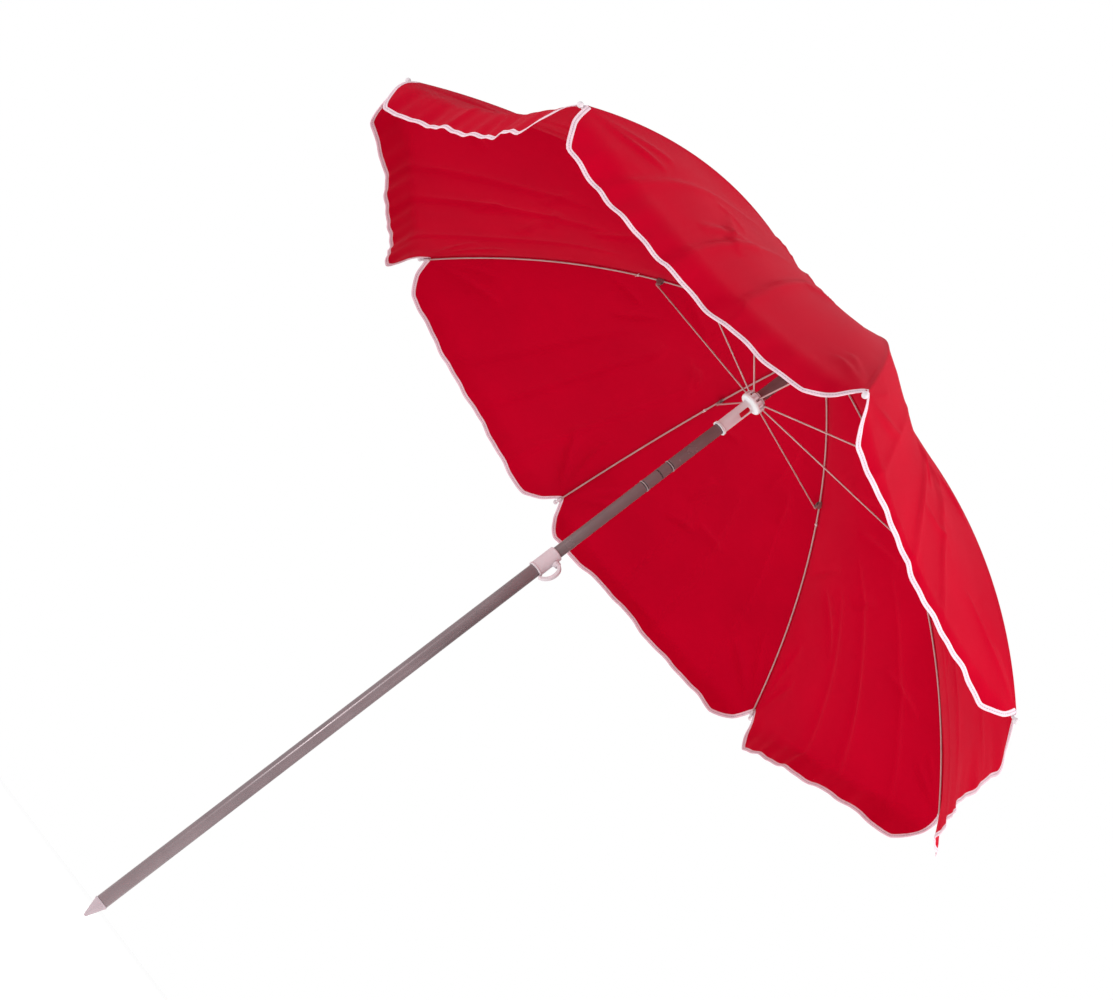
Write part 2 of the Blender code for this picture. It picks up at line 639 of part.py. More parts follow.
main()
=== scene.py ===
"""Beach umbrella: fine surfaces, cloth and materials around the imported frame. Metres, +Z up the pole."""

import json
import math

import bmesh
import bpy
from mathutils import Matrix, Vector


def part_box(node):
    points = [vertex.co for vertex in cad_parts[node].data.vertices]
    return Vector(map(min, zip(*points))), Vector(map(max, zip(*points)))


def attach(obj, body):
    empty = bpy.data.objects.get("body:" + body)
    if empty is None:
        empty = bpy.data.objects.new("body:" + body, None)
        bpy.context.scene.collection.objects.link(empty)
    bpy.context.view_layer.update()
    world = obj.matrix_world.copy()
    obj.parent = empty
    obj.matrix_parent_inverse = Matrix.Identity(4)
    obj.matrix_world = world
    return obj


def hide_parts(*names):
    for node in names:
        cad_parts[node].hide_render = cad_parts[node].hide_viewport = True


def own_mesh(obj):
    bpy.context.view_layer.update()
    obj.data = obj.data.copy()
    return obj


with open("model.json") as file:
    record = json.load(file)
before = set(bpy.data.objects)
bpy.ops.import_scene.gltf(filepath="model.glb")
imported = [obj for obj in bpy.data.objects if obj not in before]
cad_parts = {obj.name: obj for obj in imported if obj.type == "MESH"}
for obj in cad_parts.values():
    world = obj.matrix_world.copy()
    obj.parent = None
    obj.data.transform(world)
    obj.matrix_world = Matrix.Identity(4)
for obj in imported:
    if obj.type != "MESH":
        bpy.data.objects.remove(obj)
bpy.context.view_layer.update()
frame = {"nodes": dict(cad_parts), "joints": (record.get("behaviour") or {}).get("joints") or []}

# ---- sizes read from the frame

JOINTS = {joint["name"]: joint for joint in frame["joints"]}
RIBS = 8
STEP_ANGLE = 2 * math.pi / RIBS
HALF_PANEL = STEP_ANGLE / 2
GAP = 0.0003

ROOT_R, _, NOTCH_Z = JOINTS["rib_hinge_1"]["pos_m"]
CLIP_R, _, CLIP_Z = JOINTS["stretcher_hinge_1"]["pos_m"]
TILT_Z = JOINTS["tilt"]["pos_m"][2]
CLAMP_AXIS = Vector(JOINTS["clamp_screw_turn"]["axis"])
CLAMP_ANGLE = math.atan2(CLAMP_AXIS.y, CLAMP_AXIS.x)
CLAMP_Z = JOINTS["clamp_screw_turn"]["pos_m"][2]
PRESS_AXIS = Vector(JOINTS["catch_press"]["axis"])
CATCH_ANGLE = math.atan2(-PRESS_AXIS.y, -PRESS_AXIS.x)
RUNNER_PIVOT_Z = 2 * CLIP_Z - NOTCH_Z


def low(node):
    """A CAD node's lowest corner."""
    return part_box(node)[0]


def high(node):
    """A CAD node's highest corner."""
    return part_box(node)[1]


def ends(node):
    """Heights of a CAD node's bottom and top."""
    return low(node).z, high(node).z


LOWER_R = high("lower_pole").x
UPPER_R = high("mid_pole").x
WALL = 0.0010
SPIKE_LENGTH = low("lower_pole").z - GAP
LOWER_TOP_Z = high("lower_pole").z
CATCH_LOW_Z, CATCH_HIGH_Z = ends("runner_catch")

# Runner and catch
RUNNER_BORE = 0.0113
RUNNER_R = 0.0124
RUNNER_RING_R = 0.01505
HEAD_R = 0.0230
SLOT_HALF = 0.0022
CATCH_HALF = 0.0026
TOOTH_R = (0.0062, 0.0112, 0.0122)
WINDOW_HALF = 0.0050
PLATE_R = (0.01175, 0.0122)

# Collar and clamp screw
COLLAR_R = 0.0146
BOSS_R = 0.0072
BOSS_FACE = 0.0175
SCREW_R = 0.0030

# Ribs: arcs whose slope grows from the notch to the tip
RIB_R = 0.00175
STRETCHER_R = 0.0016
EYE_R = 0.0031
ROOT_SLOPE = math.radians(3)
TIP_SLOPE = math.radians(44)
RIB_TOP_Z = NOTCH_Z + EYE_R
TIP_R = 0.820
BEND_R = (TIP_R - ROOT_R) / (math.sin(TIP_SLOPE) - math.sin(ROOT_SLOPE))
RIB_LENGTH = BEND_R * (TIP_SLOPE - ROOT_SLOPE)
CLIP_DROP = 0.0100
CLIP_RADIUS = 0.3813
CLIP_ARC = BEND_R * (math.asin(math.sin(ROOT_SLOPE) + (CLIP_RADIUS - ROOT_R) / BEND_R) - ROOT_SLOPE)
BALL_R = 0.0052
BALL_OUT = 0.0066
BALL_LIFT = 0.0036

# Cloth
CLOTH_LIFT = 0.0046
CROWN_LIFT = 0.0062
CLOTH_START = 0.0060 - ROOT_R
HALF_CHORD = TIP_R * math.sin(HALF_PANEL)
SAG_SHARE = 0.058
FLAP_DEPTHS = (0.093, 0.086, 0.051, 0.083, 0.079, 0.066, 0.061, 0.090)
FLAP_CORNER = 0.070
FLAP_NOTCH = 0.010
FLAP_ROUNDING = 1.25
V_REACH = 0.030
FLAP_SLOPES = tuple(math.radians(slope) for slope in (91, 67, 91, 46, 91, 91, 64, 88))
FLAP_BEND = 0.042
TAPE_WIDTH = 0.0085
TAPE_THICKNESS = 0.0014
TAPE_CORNER = 0.00055
TAPE_OVERHANG = 0.0012
SEAM_HALF = 0.0062
SEAM_RISE = 0.0007
STITCH_ASIDE = 0.0046
STITCH_PITCH = 0.0032
TAPE_STITCH_PITCH = 0.0046
WEAVE_PITCH = 0.0009
TWILL_PITCH = 0.0011

# Crimped beads of the pole
BEAD_RISE = 0.0007
GROOVE_DEPTH = 0.0010

# Studio
BACKDROP = (-0.085, -0.959, 0.271)
FLOOR_RADIUS = 60.0
FLOOR_DROP = 0.0005
CAMERA_LENS = 69.98
CAMERA_PLACE = (0.3987, 3.6673, 0.0271)
CAMERA_HEADING, CAMERA_RISE, CAMERA_ROLL = (math.radians(a) for a in (-95.04, 15.75, -52.83))


# ---- material helpers

class Nodes:
    """A new material with its Principled shader, and short ways to add nodes."""

    def __init__(self, name, colour, roughness, metallic=0.0):
        self.material = bpy.data.materials.new(name)
        self.material.use_nodes = True
        self.tree = self.material.node_tree
        self.shader = self.tree.nodes["Principled BSDF"]
        self.colour, self.roughness = colour, roughness
        self.set(Base_Color=(*colour, 1.0), Roughness=roughness, Metallic=metallic)

    def set(self, **values):
        for name, value in values.items():
            self.shader.inputs[name.replace("_", " ")].default_value = value

    def feed(self, socket, value):
        """Link an output to a socket, or give the socket a plain value."""
        if isinstance(value, bpy.types.NodeSocket):
            self.tree.links.new(value, socket)
        else:
            is_colour = socket.type == "RGBA" and isinstance(value, tuple)
            socket.default_value = (*value, 1.0) if is_colour else value

    def add(self, kind, **inputs):
        node = self.tree.nodes.new(kind)
        for name, value in inputs.items():
            self.feed(node.inputs[name.replace("_", " ")], value)
        return node

    def link(self, output, socket):
        self.tree.links.new(output, self.shader.inputs[socket])

    def place(self, kind="Object"):
        """Coordinates fixed to the piece, or its UV map."""
        return self.tree.nodes.new("ShaderNodeTexCoord").outputs[kind]

    def stretch(self, vector, scale):
        return self.add("ShaderNodeMapping", Vector=vector, Scale=scale).outputs["Vector"]

    def noise(self, vector, scale, detail=4.0, roughness=0.55):
        return self.add("ShaderNodeTexNoise", Vector=vector, Scale=scale, Detail=detail,
                        Roughness=roughness).outputs["Fac"]

    def math(self, operation, first, second=0.0):
        node = self.tree.nodes.new("ShaderNodeMath")
        node.operation = operation
        self.feed(node.inputs[0], first)
        self.feed(node.inputs[1], second)
        return node.outputs[0]

    def times(self, first, second):
        return self.math("MULTIPLY", first, second)

    def plus(self, first, second):
        return self.math("ADD", first, second)

    def total(self, *terms):
        """Sum of (value, weight) terms."""
        weighted = [self.times(value, weight) for value, weight in terms]
        result = weighted[0]
        for value in weighted[1:]:
            result = self.plus(result, value)
        return result

    def distance(self, first, second):
        return self.math("ABSOLUTE", self.math("SUBTRACT", first, second))

    def sine(self, value, pitch):
        """Sine of a length, one turn for each pitch."""
        return self.math("SINE", self.times(value, 2 * math.pi / pitch))

    def ramp(self, value, low_at, low_colour, high_at, high_colour):
        node = self.add("ShaderNodeValToRGB", Fac=value)
        first, last = node.color_ramp.elements
        first.position, first.color = low_at, (*low_colour, 1.0)
        last.position, last.color = high_at, (*high_colour, 1.0)
        return node.outputs["Color"]

    def spread(self, value, low_at, low_value, high_at, high_value):
        """A value carried from one range to another, held at its ends."""
        return self.add("ShaderNodeMapRange", Value=value, From_Min=low_at, From_Max=high_at,
                        To_Min=low_value, To_Max=high_value).outputs["Result"]

    def mix(self, share, first, second):
        """A colour between two others. The node's colour sockets are its seventh and eighth."""
        node = self.tree.nodes.new("ShaderNodeMix")
        node.data_type = "RGBA"
        for number, value in ((0, share), (6, first), (7, second)):
            self.feed(node.inputs[number], value)
        return node.outputs[2]

    def split(self, vector):
        return self.add("ShaderNodeSeparateXYZ", Vector=vector).outputs

    def bump(self, height, strength, distance):
        node = self.add("ShaderNodeBump", Height=height, Strength=strength, Distance=distance)
        self.link(node.outputs["Normal"], "Normal")
        return node


def linear(red, green, blue):
    """A linear colour from sRGB bytes."""
    shares = (red / 255, green / 255, blue / 255)
    return tuple(((c + 0.055) / 1.055) ** 2.4 if c > 0.04 else c / 12.92 for c in shares)


def shade(colour, factor):
    """A colour made darker or lighter."""
    return tuple(c * factor for c in colour)


def pole_paint(name, colour, outer, dark_bands=()):
    """Satin mauve-grey enamel: fine draw marks, mottling, small scratches, painted highlights on the beads
    and painted shade in their grooves and in bands.
    """
    m = Nodes(name, colour, 0.26, 0.2)
    place = m.place()
    x, y, z = m.split(place)
    along = m.noise(m.stretch(place, (140.0, 140.0, 2.5)), 1.0, 2.0)
    mottle = m.noise(place, 16.0, 4.0)
    scratch = m.noise(m.stretch(place, (90.0, 90.0, 9.0)), 1.0, 3.0, 0.6)
    tone = m.ramp(mottle, 0.32, shade(colour, 0.90), 0.68, shade(colour, 1.06))
    tone = m.mix(m.spread(along, 0.35, 0.0, 0.65, 0.10), tone, shade(colour, 0.7))
    tone = m.mix(m.spread(scratch, 0.72, 0.0, 0.78, 0.25), tone, shade(colour, 1.4))
    radius = m.math("SQRT", m.plus(m.times(x, x), m.times(y, y)))
    # Painted highlight: the crest of each rolled bead is made lighter.
    bead_highlight = m.spread(radius, outer + 0.5 * BEAD_RISE, 0.0, outer + 0.9 * BEAD_RISE, 0.75)
    # Painted shade: the grooves beside each bead are made darker.
    groove_shade = m.spread(radius, outer - 0.6 * GROOVE_DEPTH, 0.85, outer - 0.15 * GROOVE_DEPTH, 0.0)
    tone = m.mix(bead_highlight, tone, shade(colour, 2.6))
    tone = m.mix(groove_shade, tone, shade(colour, 0.16))
    # Painted shade: a dark band at each given height, where a split between parts lies.
    for height, reach in dark_bands:
        near = m.spread(m.distance(z, height), 0.5 * reach, 0.85, reach, 0.0)
        tone = m.mix(near, tone, shade(colour, 0.14))
    m.link(tone, "Base Color")
    m.link(m.spread(mottle, 0.3, 0.22, 0.7, 0.29), "Roughness")
    m.bump(along, 0.006, 0.0002)
    return m.material


def mottled(m, skin, mottle, dull, dirt, dirty, roughest):
    """Give a material fine skin, mottling that dulls it, and dirt: noise scales and details, and shares."""
    place, colour = m.place(), m.colour
    patch = m.noise(place, *mottle)
    tone = m.ramp(patch, 0.3, shade(colour, dull), 0.7, colour)
    low_at, high_at, share, factor = dirty
    tone = m.mix(m.spread(m.noise(place, *dirt), low_at, 0.0, high_at, share), tone, shade(colour, factor))
    m.link(tone, "Base Color")
    m.link(m.spread(patch, 0.3, m.roughness - 0.06, 0.7, m.roughness + roughest), "Roughness")
    m.bump(m.noise(place, skin, 2.0), 0.05, 0.0002)
    return m.material


def plastic(name, colour, roughness=0.42):
    """Moulded plastic: fine skin, faint mottling and dirt in patches."""
    return mottled(Nodes(name, colour, roughness), 420.0, (55.0, 3.0), 0.94, (120.0, 4.0, 0.6),
                   (0.60, 0.80, 0.30, 0.75), 0.08)


def wire_steel(name, colour, roughness, metallic):
    """Drawn wire or pressed sheet: fine grain, dull patches and small dark specks."""
    return mottled(Nodes(name, colour, roughness, metallic), 380.0, (45.0, 5.0), 0.78, (320.0, 2.0),
                   (0.68, 0.75, 0.6, 0.45), 0.12)


def red_cloth():
    """Plain-woven red polyester: thread weave, slubs, soft sheen, light through it, seam and its stitches,
    with painted shade along the stitch line.
    """
    red = linear(180, 0, 33)
    m = Nodes("red_woven_polyester", red, 0.62)
    uv = m.place("UV")
    across, along, _ = m.split(uv)
    place = m.place()
    slub = m.noise(m.stretch(uv, (1500.0, 60.0, 1.0)), 1.0, 2.0)
    cross_slub = m.noise(m.stretch(uv, (60.0, 1500.0, 1.0)), 1.0, 2.0)
    threads = m.times(m.plus(slub, cross_slub), 0.5)
    cloud = m.noise(place, 5.5, 3.0)
    tone = m.ramp(cloud, 0.30, shade(red, 0.93), 0.72, shade(red, 1.05))
    tone = m.mix(m.spread(threads, 0.42, 0.0, 0.62, 0.22), tone, shade(red, 0.80))
    beside_seam = m.math("ABSOLUTE", across)
    fold = m.spread(m.distance(beside_seam, STITCH_ASIDE), 0.0, 0.5, 0.0011, 0.0)
    dash = m.spread(m.sine(along, STITCH_PITCH), -0.2, 0.0, 0.2, 1.0)
    stitch = m.times(fold, dash)
    # Painted shade: the cloth is darkened along the whole stitch line, under and between the stitches.
    tone = m.mix(m.times(fold, 0.5), tone, shade(red, 0.62))
    tone = m.mix(m.times(stitch, 0.6), tone, linear(225, 40, 66))
    m.link(tone, "Base Color")
    m.link(m.spread(threads, 0.3, 0.52, 0.7, 0.72), "Roughness")
    weave = m.times(m.sine(across, WEAVE_PITCH), m.sine(along, WEAVE_PITCH))
    pucker = m.noise(m.stretch(uv, (45.0, 160.0, 1.0)), 1.0, 2.0)
    near = m.spread(beside_seam, 0.004, 1.0, 0.022, 0.0)
    height = m.total((weave, 0.20), (threads, 0.35), (m.times(pucker, near), 3.0), (stitch, 0.8))
    bump = m.bump(height, 0.35, 0.0006)
    m.set(Sheen_Weight=0.09, Sheen_Roughness=0.4, Sheen_Tint=(1.0, 0.55, 0.62, 1.0), Specular_IOR_Level=0.06,
          IOR=1.15)
    through = m.add("ShaderNodeBsdfTranslucent", Color=tone, Normal=bump.outputs["Normal"])
    both = m.add("ShaderNodeMixShader", Fac=0.22)
    m.feed(both.inputs[1], m.shader.outputs["BSDF"])
    m.feed(both.inputs[2], through.outputs["BSDF"])
    m.feed(m.tree.nodes["Material Output"].inputs["Surface"], both.outputs["Shader"])
    return m.material


def white_tape():
    """Bias binding: fine diagonal weave, pinkish white, with a grey stitch along its middle over a line of
    painted shade.
    """
    white = linear(224, 192, 203)
    m = Nodes("white_bias_binding", white, 0.75)
    uv = m.place("UV")
    across, along, _ = m.split(uv)
    twill = m.sine(m.plus(across, along), TWILL_PITCH)
    cloud = m.noise(m.place(), 60.0, 4.0)
    tone = m.ramp(cloud, 0.3, shade(white, 0.86), 0.7, white)
    line = m.spread(m.math("ABSOLUTE", across), 0.0004, 1.0, 0.0012, 0.0)
    dash = m.spread(m.sine(along, TAPE_STITCH_PITCH), -0.3, 0.0, 0.1, 1.0)
    stitch = m.times(line, dash)
    # Painted shade: the tape is darkened along the whole stitch line, under and between the stitches.
    tone = m.mix(m.times(line, 0.45), tone, shade(white, 0.5))
    m.link(m.mix(m.times(stitch, 0.75), tone, linear(150, 120, 130)), "Base Color")
    m.bump(m.total((twill, 0.25), (stitch, -1.0)), 0.4, 0.0005)
    m.set(Sheen_Weight=0.2)
    return m.material


def thread_white():
    """Twisted white thread."""
    white = linear(240, 228, 230)
    m = Nodes("white_thread", white, 0.8)
    ply = m.noise(m.stretch(m.place(), (900.0, 900.0, 2600.0)), 1.0, 2.0)
    m.link(m.ramp(ply, 0.35, shade(white, 0.75), 0.65, white), "Base Color")
    m.bump(ply, 0.5, 0.0003)
    m.set(Sheen_Weight=0.2)
    return m.material


def studio_floor():
    """Plain pale floor with a trace of tone, faintly lit from below like a light table."""
    m = Nodes("studio_floor", (0.9, 0.9, 0.9), 0.9)
    m.link(m.ramp(m.noise(m.place(), 0.7, 2.0), 0.3, (0.895, 0.895, 0.895), 0.7, (0.905, 0.905, 0.905)),
           "Base Color")
    m.set(Specular_IOR_Level=0.0, Emission_Color=(1.0, 1.0, 1.0, 1.0), Emission_Strength=0.42)
    return m.material


# The upper enamel carries a band of painted shade at the tilt joint's split.
PAINT = pole_paint("mauve_enamel", linear(118, 108, 109), UPPER_R, [(TILT_Z, 0.0016)])
PAINT_LOWER = pole_paint("mauve_enamel_lower", linear(124, 109, 112), LOWER_R)
WHITE = plastic("off_white_plastic", linear(222, 230, 232))
GREYISH = plastic("greyish_plastic", linear(204, 192, 197), 0.5)
SPIKE = plastic("spike_plastic", linear(176, 162, 168), 0.5)
RED = plastic("red_plastic", linear(186, 4, 36), 0.38)
WIRE = wire_steel("drawn_wire", linear(196, 162, 160), 0.4, 0.35)
RIB_WIRE = wire_steel("rib_wire", linear(184, 150, 148), 0.42, 0.35)
PRESSED = wire_steel("pressed_steel", linear(150, 128, 128), 0.5, 0.5)
ZINC = wire_steel("zinc_plate", linear(205, 205, 210), 0.3, 0.9)
CLOTH = red_cloth()
TAPE = white_tape()
THREAD = thread_white()


# ---- shape helpers

def finish_piece(name, mesh, material, body, replaces=(), smooth=True):
    """An object of the mesh that rides on a body and stands for some CAD nodes."""
    mesh.materials.clear()
    mesh.materials.append(material)
    obj = holding(mesh, name)
    if smooth:
        mesh.shade_smooth()
        mesh.set_sharp_from_angle(angle=math.radians(38))
    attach(obj, body)
    if replaces:
        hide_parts(*replaces)
    return obj


def mesh_of(bm, name):
    """A mesh made from a bmesh with its faces pointing out."""
    bmesh.ops.recalc_face_normals(bm, faces=bm.faces)
    mesh = bpy.data.meshes.new(name)
    bm.to_mesh(mesh)
    bm.free()
    return mesh


def rounded(profile, radius=0.0004, steps=3):
    """A closed (radius, height) outline with its corners off the axis rounded."""
    out = []
    count = len(profile)
    for i, here in enumerate(profile):
        before, after = Vector(profile[i - 1]), Vector(profile[(i + 1) % count])
        here = Vector(here)
        reach = min(radius, (before - here).length * 0.45, (after - here).length * 0.45)
        if here.x < 1e-6 or reach < 1e-6:
            out.append(tuple(here))
            continue
        start = here + (before - here).normalized() * reach
        end = here + (after - here).normalized() * reach
        for j in range(steps + 1):
            t = j / steps
            out.append(tuple(start * (1 - t) ** 2 + here * 2 * t * (1 - t) + end * t * t))
    return out


def lathe(profile, segments=96, open_axis=False):
    """A bmesh turned from an outline of (radius, height). With open_axis both its ends lie on the axis."""
    bm = bmesh.new()
    rings = []
    for r, z in profile:
        if r < 1e-7:
            rings.append([bm.verts.new((0.0, 0.0, z))])
        else:
            rings.append([bm.verts.new(around(r, z, 2 * math.pi * i / segments)) for i in range(segments)])
    pairs = list(zip(rings, rings[1:]))
    if not open_axis:
        pairs.append((rings[-1], rings[0]))
    for first, second in pairs:
        for i in range(segments):
            j = (i + 1) % segments
            corners = [first[i % len(first)], first[j % len(first)], second[j % len(second)],
                       second[i % len(second)]]
            corners = list(dict.fromkeys(corners))
            if len(corners) > 2:
                bm.faces.new(corners)
    return bm


def sweep(points, section, closed=False, up=None):
    """A bmesh of a section along points. The section is (side, up) pairs, or makes them from the share."""
    points = [Vector(p) for p in points]
    count = len(points)
    bm = bmesh.new()
    uv = bm.loops.layers.uv.new("UVMap")
    rings, lengths, total = [], [], 0.0
    normal = None
    for i, point in enumerate(points):
        ahead = points[(i + 1) % count] if closed else points[min(i + 1, count - 1)]
        behind = points[i - 1] if closed else points[max(i - 1, 0)]
        along = (ahead - behind).normalized()
        if up is not None:
            guide = up(i) if callable(up) else Vector(up)
            normal = (guide - along * guide.dot(along)).normalized()
        elif normal is None:
            guide = Vector((0, 0, 1)) if abs(along.z) < 0.9 else Vector((1, 0, 0))
            normal = (guide - along * guide.dot(along)).normalized()
        else:
            normal = (normal - along * normal.dot(along)).normalized()
        side = along.cross(normal)
        if i:
            total += (point - points[i - 1]).length
        lengths.append(total)
        shape = section(i / (count - 1)) if callable(section) else section
        rings.append([bm.verts.new(point + side * s + normal * u) for s, u in shape])
    sides = len(rings[0])
    shape = section(0.5) if callable(section) else section
    pairs = [(i, i + 1) for i in range(count - 1)] + ([(count - 1, 0)] if closed else [])
    for a, b in pairs:
        for i in range(sides):
            j = (i + 1) % sides
            face = bm.faces.new((rings[a][i], rings[a][j], rings[b][j], rings[b][i]))
            for loop, (s, v) in zip(face.loops, ((i, a), (j, a), (j, b), (i, b))):
                loop[uv].uv = (shape[s][0], lengths[v])
    if not closed:
        bm.faces.new(rings[0][::-1])
        bm.faces.new(rings[-1])
    return bm


def circle(radius, sides=14):
    """A round section."""
    angles = [2 * math.pi * i / sides for i in range(sides)]
    return [(radius * math.cos(a), radius * math.sin(a)) for a in angles]


def slab(width, thickness, corner, steps=4):
    """A rounded rectangle section, width to the sides and thickness upwards."""
    out = []
    for quarter, (sx, sy) in enumerate(((1, 1), (-1, 1), (-1, -1), (1, -1))):
        cx, cy = sx * (width / 2 - corner), sy * (thickness / 2 - corner)
        for i in range(steps + 1):
            a = math.pi / 2 * (quarter + i / steps)
            out.append((cx + corner * math.cos(a), cy + corner * math.sin(a)))
    return out


def smooth_path(points, per_span=8):
    """Points on a Catmull-Rom curve through the given ones."""
    pts = [Vector(p) for p in points]
    pts = [2 * pts[0] - pts[1], *pts, 2 * pts[-1] - pts[-2]]
    out = []
    for i in range(1, len(pts) - 2):
        p0, p1, p2, p3 = pts[i - 1:i + 3]
        for j in range(per_span):
            t = j / per_span
            out.append(0.5 * ((2 * p1) + (p2 - p0) * t + (2 * p0 - 5 * p1 + 4 * p2 - p3) * t * t
                              + (3 * p1 - p0 - 3 * p2 + p3) * t ** 3))
    out.append(pts[-2])
    return out


def evaluated(holder):
    """A new mesh of an object with its modifiers applied. The object is removed."""
    bpy.context.view_layer.update()
    made = bpy.data.meshes.new_from_object(holder.evaluated_get(bpy.context.evaluated_depsgraph_get()))
    bpy.data.objects.remove(holder)
    return made


def holding(data, name="holder"):
    """A new object of a mesh, lamp or camera in the scene."""
    obj = bpy.data.objects.new(name, data)
    bpy.context.scene.collection.objects.link(obj)
    return obj


def steps_beside(points):
    """For each point of an open path, the step from the point before it to the one after it."""
    last = len(points) - 1
    return [points[min(i + 1, last)] - points[max(i - 1, 0)] for i in range(last + 1)]


def cut(mesh, cutter, operation="DIFFERENCE"):
    """The mesh after an exact Boolean with the cutter mesh."""
    holder, tool = holding(mesh), holding(cutter)
    modifier = holder.modifiers.new("cut", "BOOLEAN")
    modifier.operation = operation
    modifier.object = tool
    modifier.solver = "EXACT"
    made = evaluated(holder)
    bpy.data.objects.remove(tool)
    return made


def bevelled(mesh, width, segments=2, angle=35):
    """The mesh with its sharp edges rounded."""
    holder = holding(mesh)
    modifier = holder.modifiers.new("bevel", "BEVEL")
    modifier.width = width
    modifier.segments = segments
    modifier.limit_method = "ANGLE"
    modifier.angle_limit = math.radians(angle)
    return evaluated(holder)


def box_mesh(low_corner, high_corner, turns=(0.0,)):
    """Boxes between two corners, one for each turn about Z."""
    bm = bmesh.new()
    low_corner, high_corner = Vector(low_corner), Vector(high_corner)
    size = high_corner - low_corner
    for turn in turns:
        place = (Matrix.Rotation(turn, 4, "Z") @ Matrix.Translation((low_corner + high_corner) / 2)
                 @ Matrix.Diagonal((*size, 1.0)))
        bmesh.ops.create_cube(bm, size=1.0, matrix=place)
    return mesh_of(bm, "boxes")


def rod_mesh(radius, start, end, segments=40, end_radius=None):
    """A capped cylinder or cone between two points."""
    start, end = Vector(start), Vector(end)
    turn = (end - start).to_track_quat("Z", "Y").to_matrix().to_4x4()
    bm = bmesh.new()
    bmesh.ops.create_cone(bm, cap_ends=True, segments=segments, radius1=radius,
                          radius2=radius if end_radius is None else end_radius, depth=(end - start).length,
                          matrix=Matrix.Translation((start + end) / 2) @ turn)
    return mesh_of(bm, "rod")


def around(radius, height, angle):
    """A point from its radius, height and angle about the pole."""
    return Vector((radius * math.cos(angle), radius * math.sin(angle), height))


def turned_about(bm, angle):
    """Turn a bmesh about Z."""
    bmesh.ops.rotate(bm, verts=bm.verts, cent=(0, 0, 0), matrix=Matrix.Rotation(angle, 3, "Z"))
    return bm


def turned_piece(name, outline, segments, material, body, node):
    """A piece turned from an outline, which is closed or has both its ends on the axis."""
    mesh = mesh_of(lathe(outline, segments, open_axis=outline[0][0] == 0.0), name)
    finish_piece(name, mesh, material, body, [node])


def ball_line(radius, middle, end, count):
    """Outline of a ball on the axis, from its top round to the angle end."""
    angles = [end * i / count for i in range(count + 1)]
    return [(radius * math.sin(a), middle + radius * math.cos(a)) for a in angles]


# ---- pole, collar and clamp

def ground_spike():
    """Blunt moulded cone, with the plug that holds it in the tube."""
    rim = high("ground_spike").x
    plug = LOWER_R - WALL - GAP
    outline = [(r, -z) for r, z in ball_line(0.0032, -0.0032, math.pi / 2 * 0.82, 8)]
    outline += [(rim - 0.0012, SPIKE_LENGTH - 0.0042), (rim - 0.0002, SPIKE_LENGTH - 0.0032),
                (rim, SPIKE_LENGTH - 0.0022), (rim, SPIKE_LENGTH - 0.0004), (rim - 0.0004, SPIKE_LENGTH),
                (plug, SPIKE_LENGTH), (plug, SPIKE_LENGTH + 0.038), (0.0, SPIKE_LENGTH + 0.040)]
    turned_piece("spike_cone", outline, 72, SPIKE, "lower_pole", "ground_spike")


def lower_tube():
    """The lower tube, with softly broken edges."""
    inner, low_z, high_z = LOWER_R - WALL, low("lower_pole").z, LOWER_TOP_Z
    outline = [(LOWER_R, high_z), (LOWER_R, low_z), (inner, low_z), (inner, high_z)]
    turned_piece("lower_tube", rounded(outline, 0.0003), 96, PAINT_LOWER, "lower_pole",
                 "lower_pole")


def bead_marks(outer, at):
    """Outline of a rolled bead between two grooves, from high to low."""
    half, groove_half = 0.0011, 0.0010
    marks = []
    for i in range(33):
        z = at + (half + 2 * groove_half) * 1.1 * (1 - i / 16)
        away = abs(z - at)
        if away < half:
            rise = BEAD_RISE * math.cos(0.5 * math.pi * away / half) ** 0.5
        elif away < half + 2 * groove_half:
            rise = -GROOVE_DEPTH * math.sin(math.pi * (away - half) / (2 * groove_half)) ** 0.7
        else:
            rise = 0.0
        marks.append((outer + rise, z))
    return marks


def upper_tube(name, node, bead):
    """Mesh of one length of the upper tube, with its crimped bead."""
    (low_z, high_z), soft = ends(node), 0.0005
    outline = [(UPPER_R - WALL, high_z), (UPPER_R - soft, high_z), (UPPER_R, high_z - soft),
               *bead_marks(UPPER_R, bead), (UPPER_R, low_z + soft), (UPPER_R - soft, low_z),
               (UPPER_R - WALL, low_z)]
    return mesh_of(lathe(outline, 96), name)


def upper_tubes():
    """The two lengths of the upper tube. The upper one has the catch's slot."""
    mesh = upper_tube("upper_tube_lower", "mid_pole", low("tilt_plug").z + 0.0123)
    finish_piece("upper_tube_lower", mesh, PAINT, "mid_pole", ["mid_pole"])
    plug_middle = sum(ends("tilt_upper_plug")) / 2
    mesh = upper_tube("upper_tube_upper", "top_pole", plug_middle - 0.0003)
    half, room = CATCH_HALF + GAP, 0.0008
    low_z, high_z = CATCH_LOW_Z - room, CATCH_HIGH_Z + room
    slot = box_mesh((0.005, -half, low_z), (0.013, half, high_z), [CATCH_ANGLE])
    finish_piece("upper_tube_upper", cut(mesh, slot), PAINT, "top_pole", ["top_pole"])


def clamp_rod(radius, start, end, segments, end_radius=None):
    """A rod on the clamp screw's axis between two distances from the pole's axis."""
    return rod_mesh(radius, around(start, CLAMP_Z, CLAMP_ANGLE), around(end, CLAMP_Z, CLAMP_ANGLE), segments,
                    end_radius)


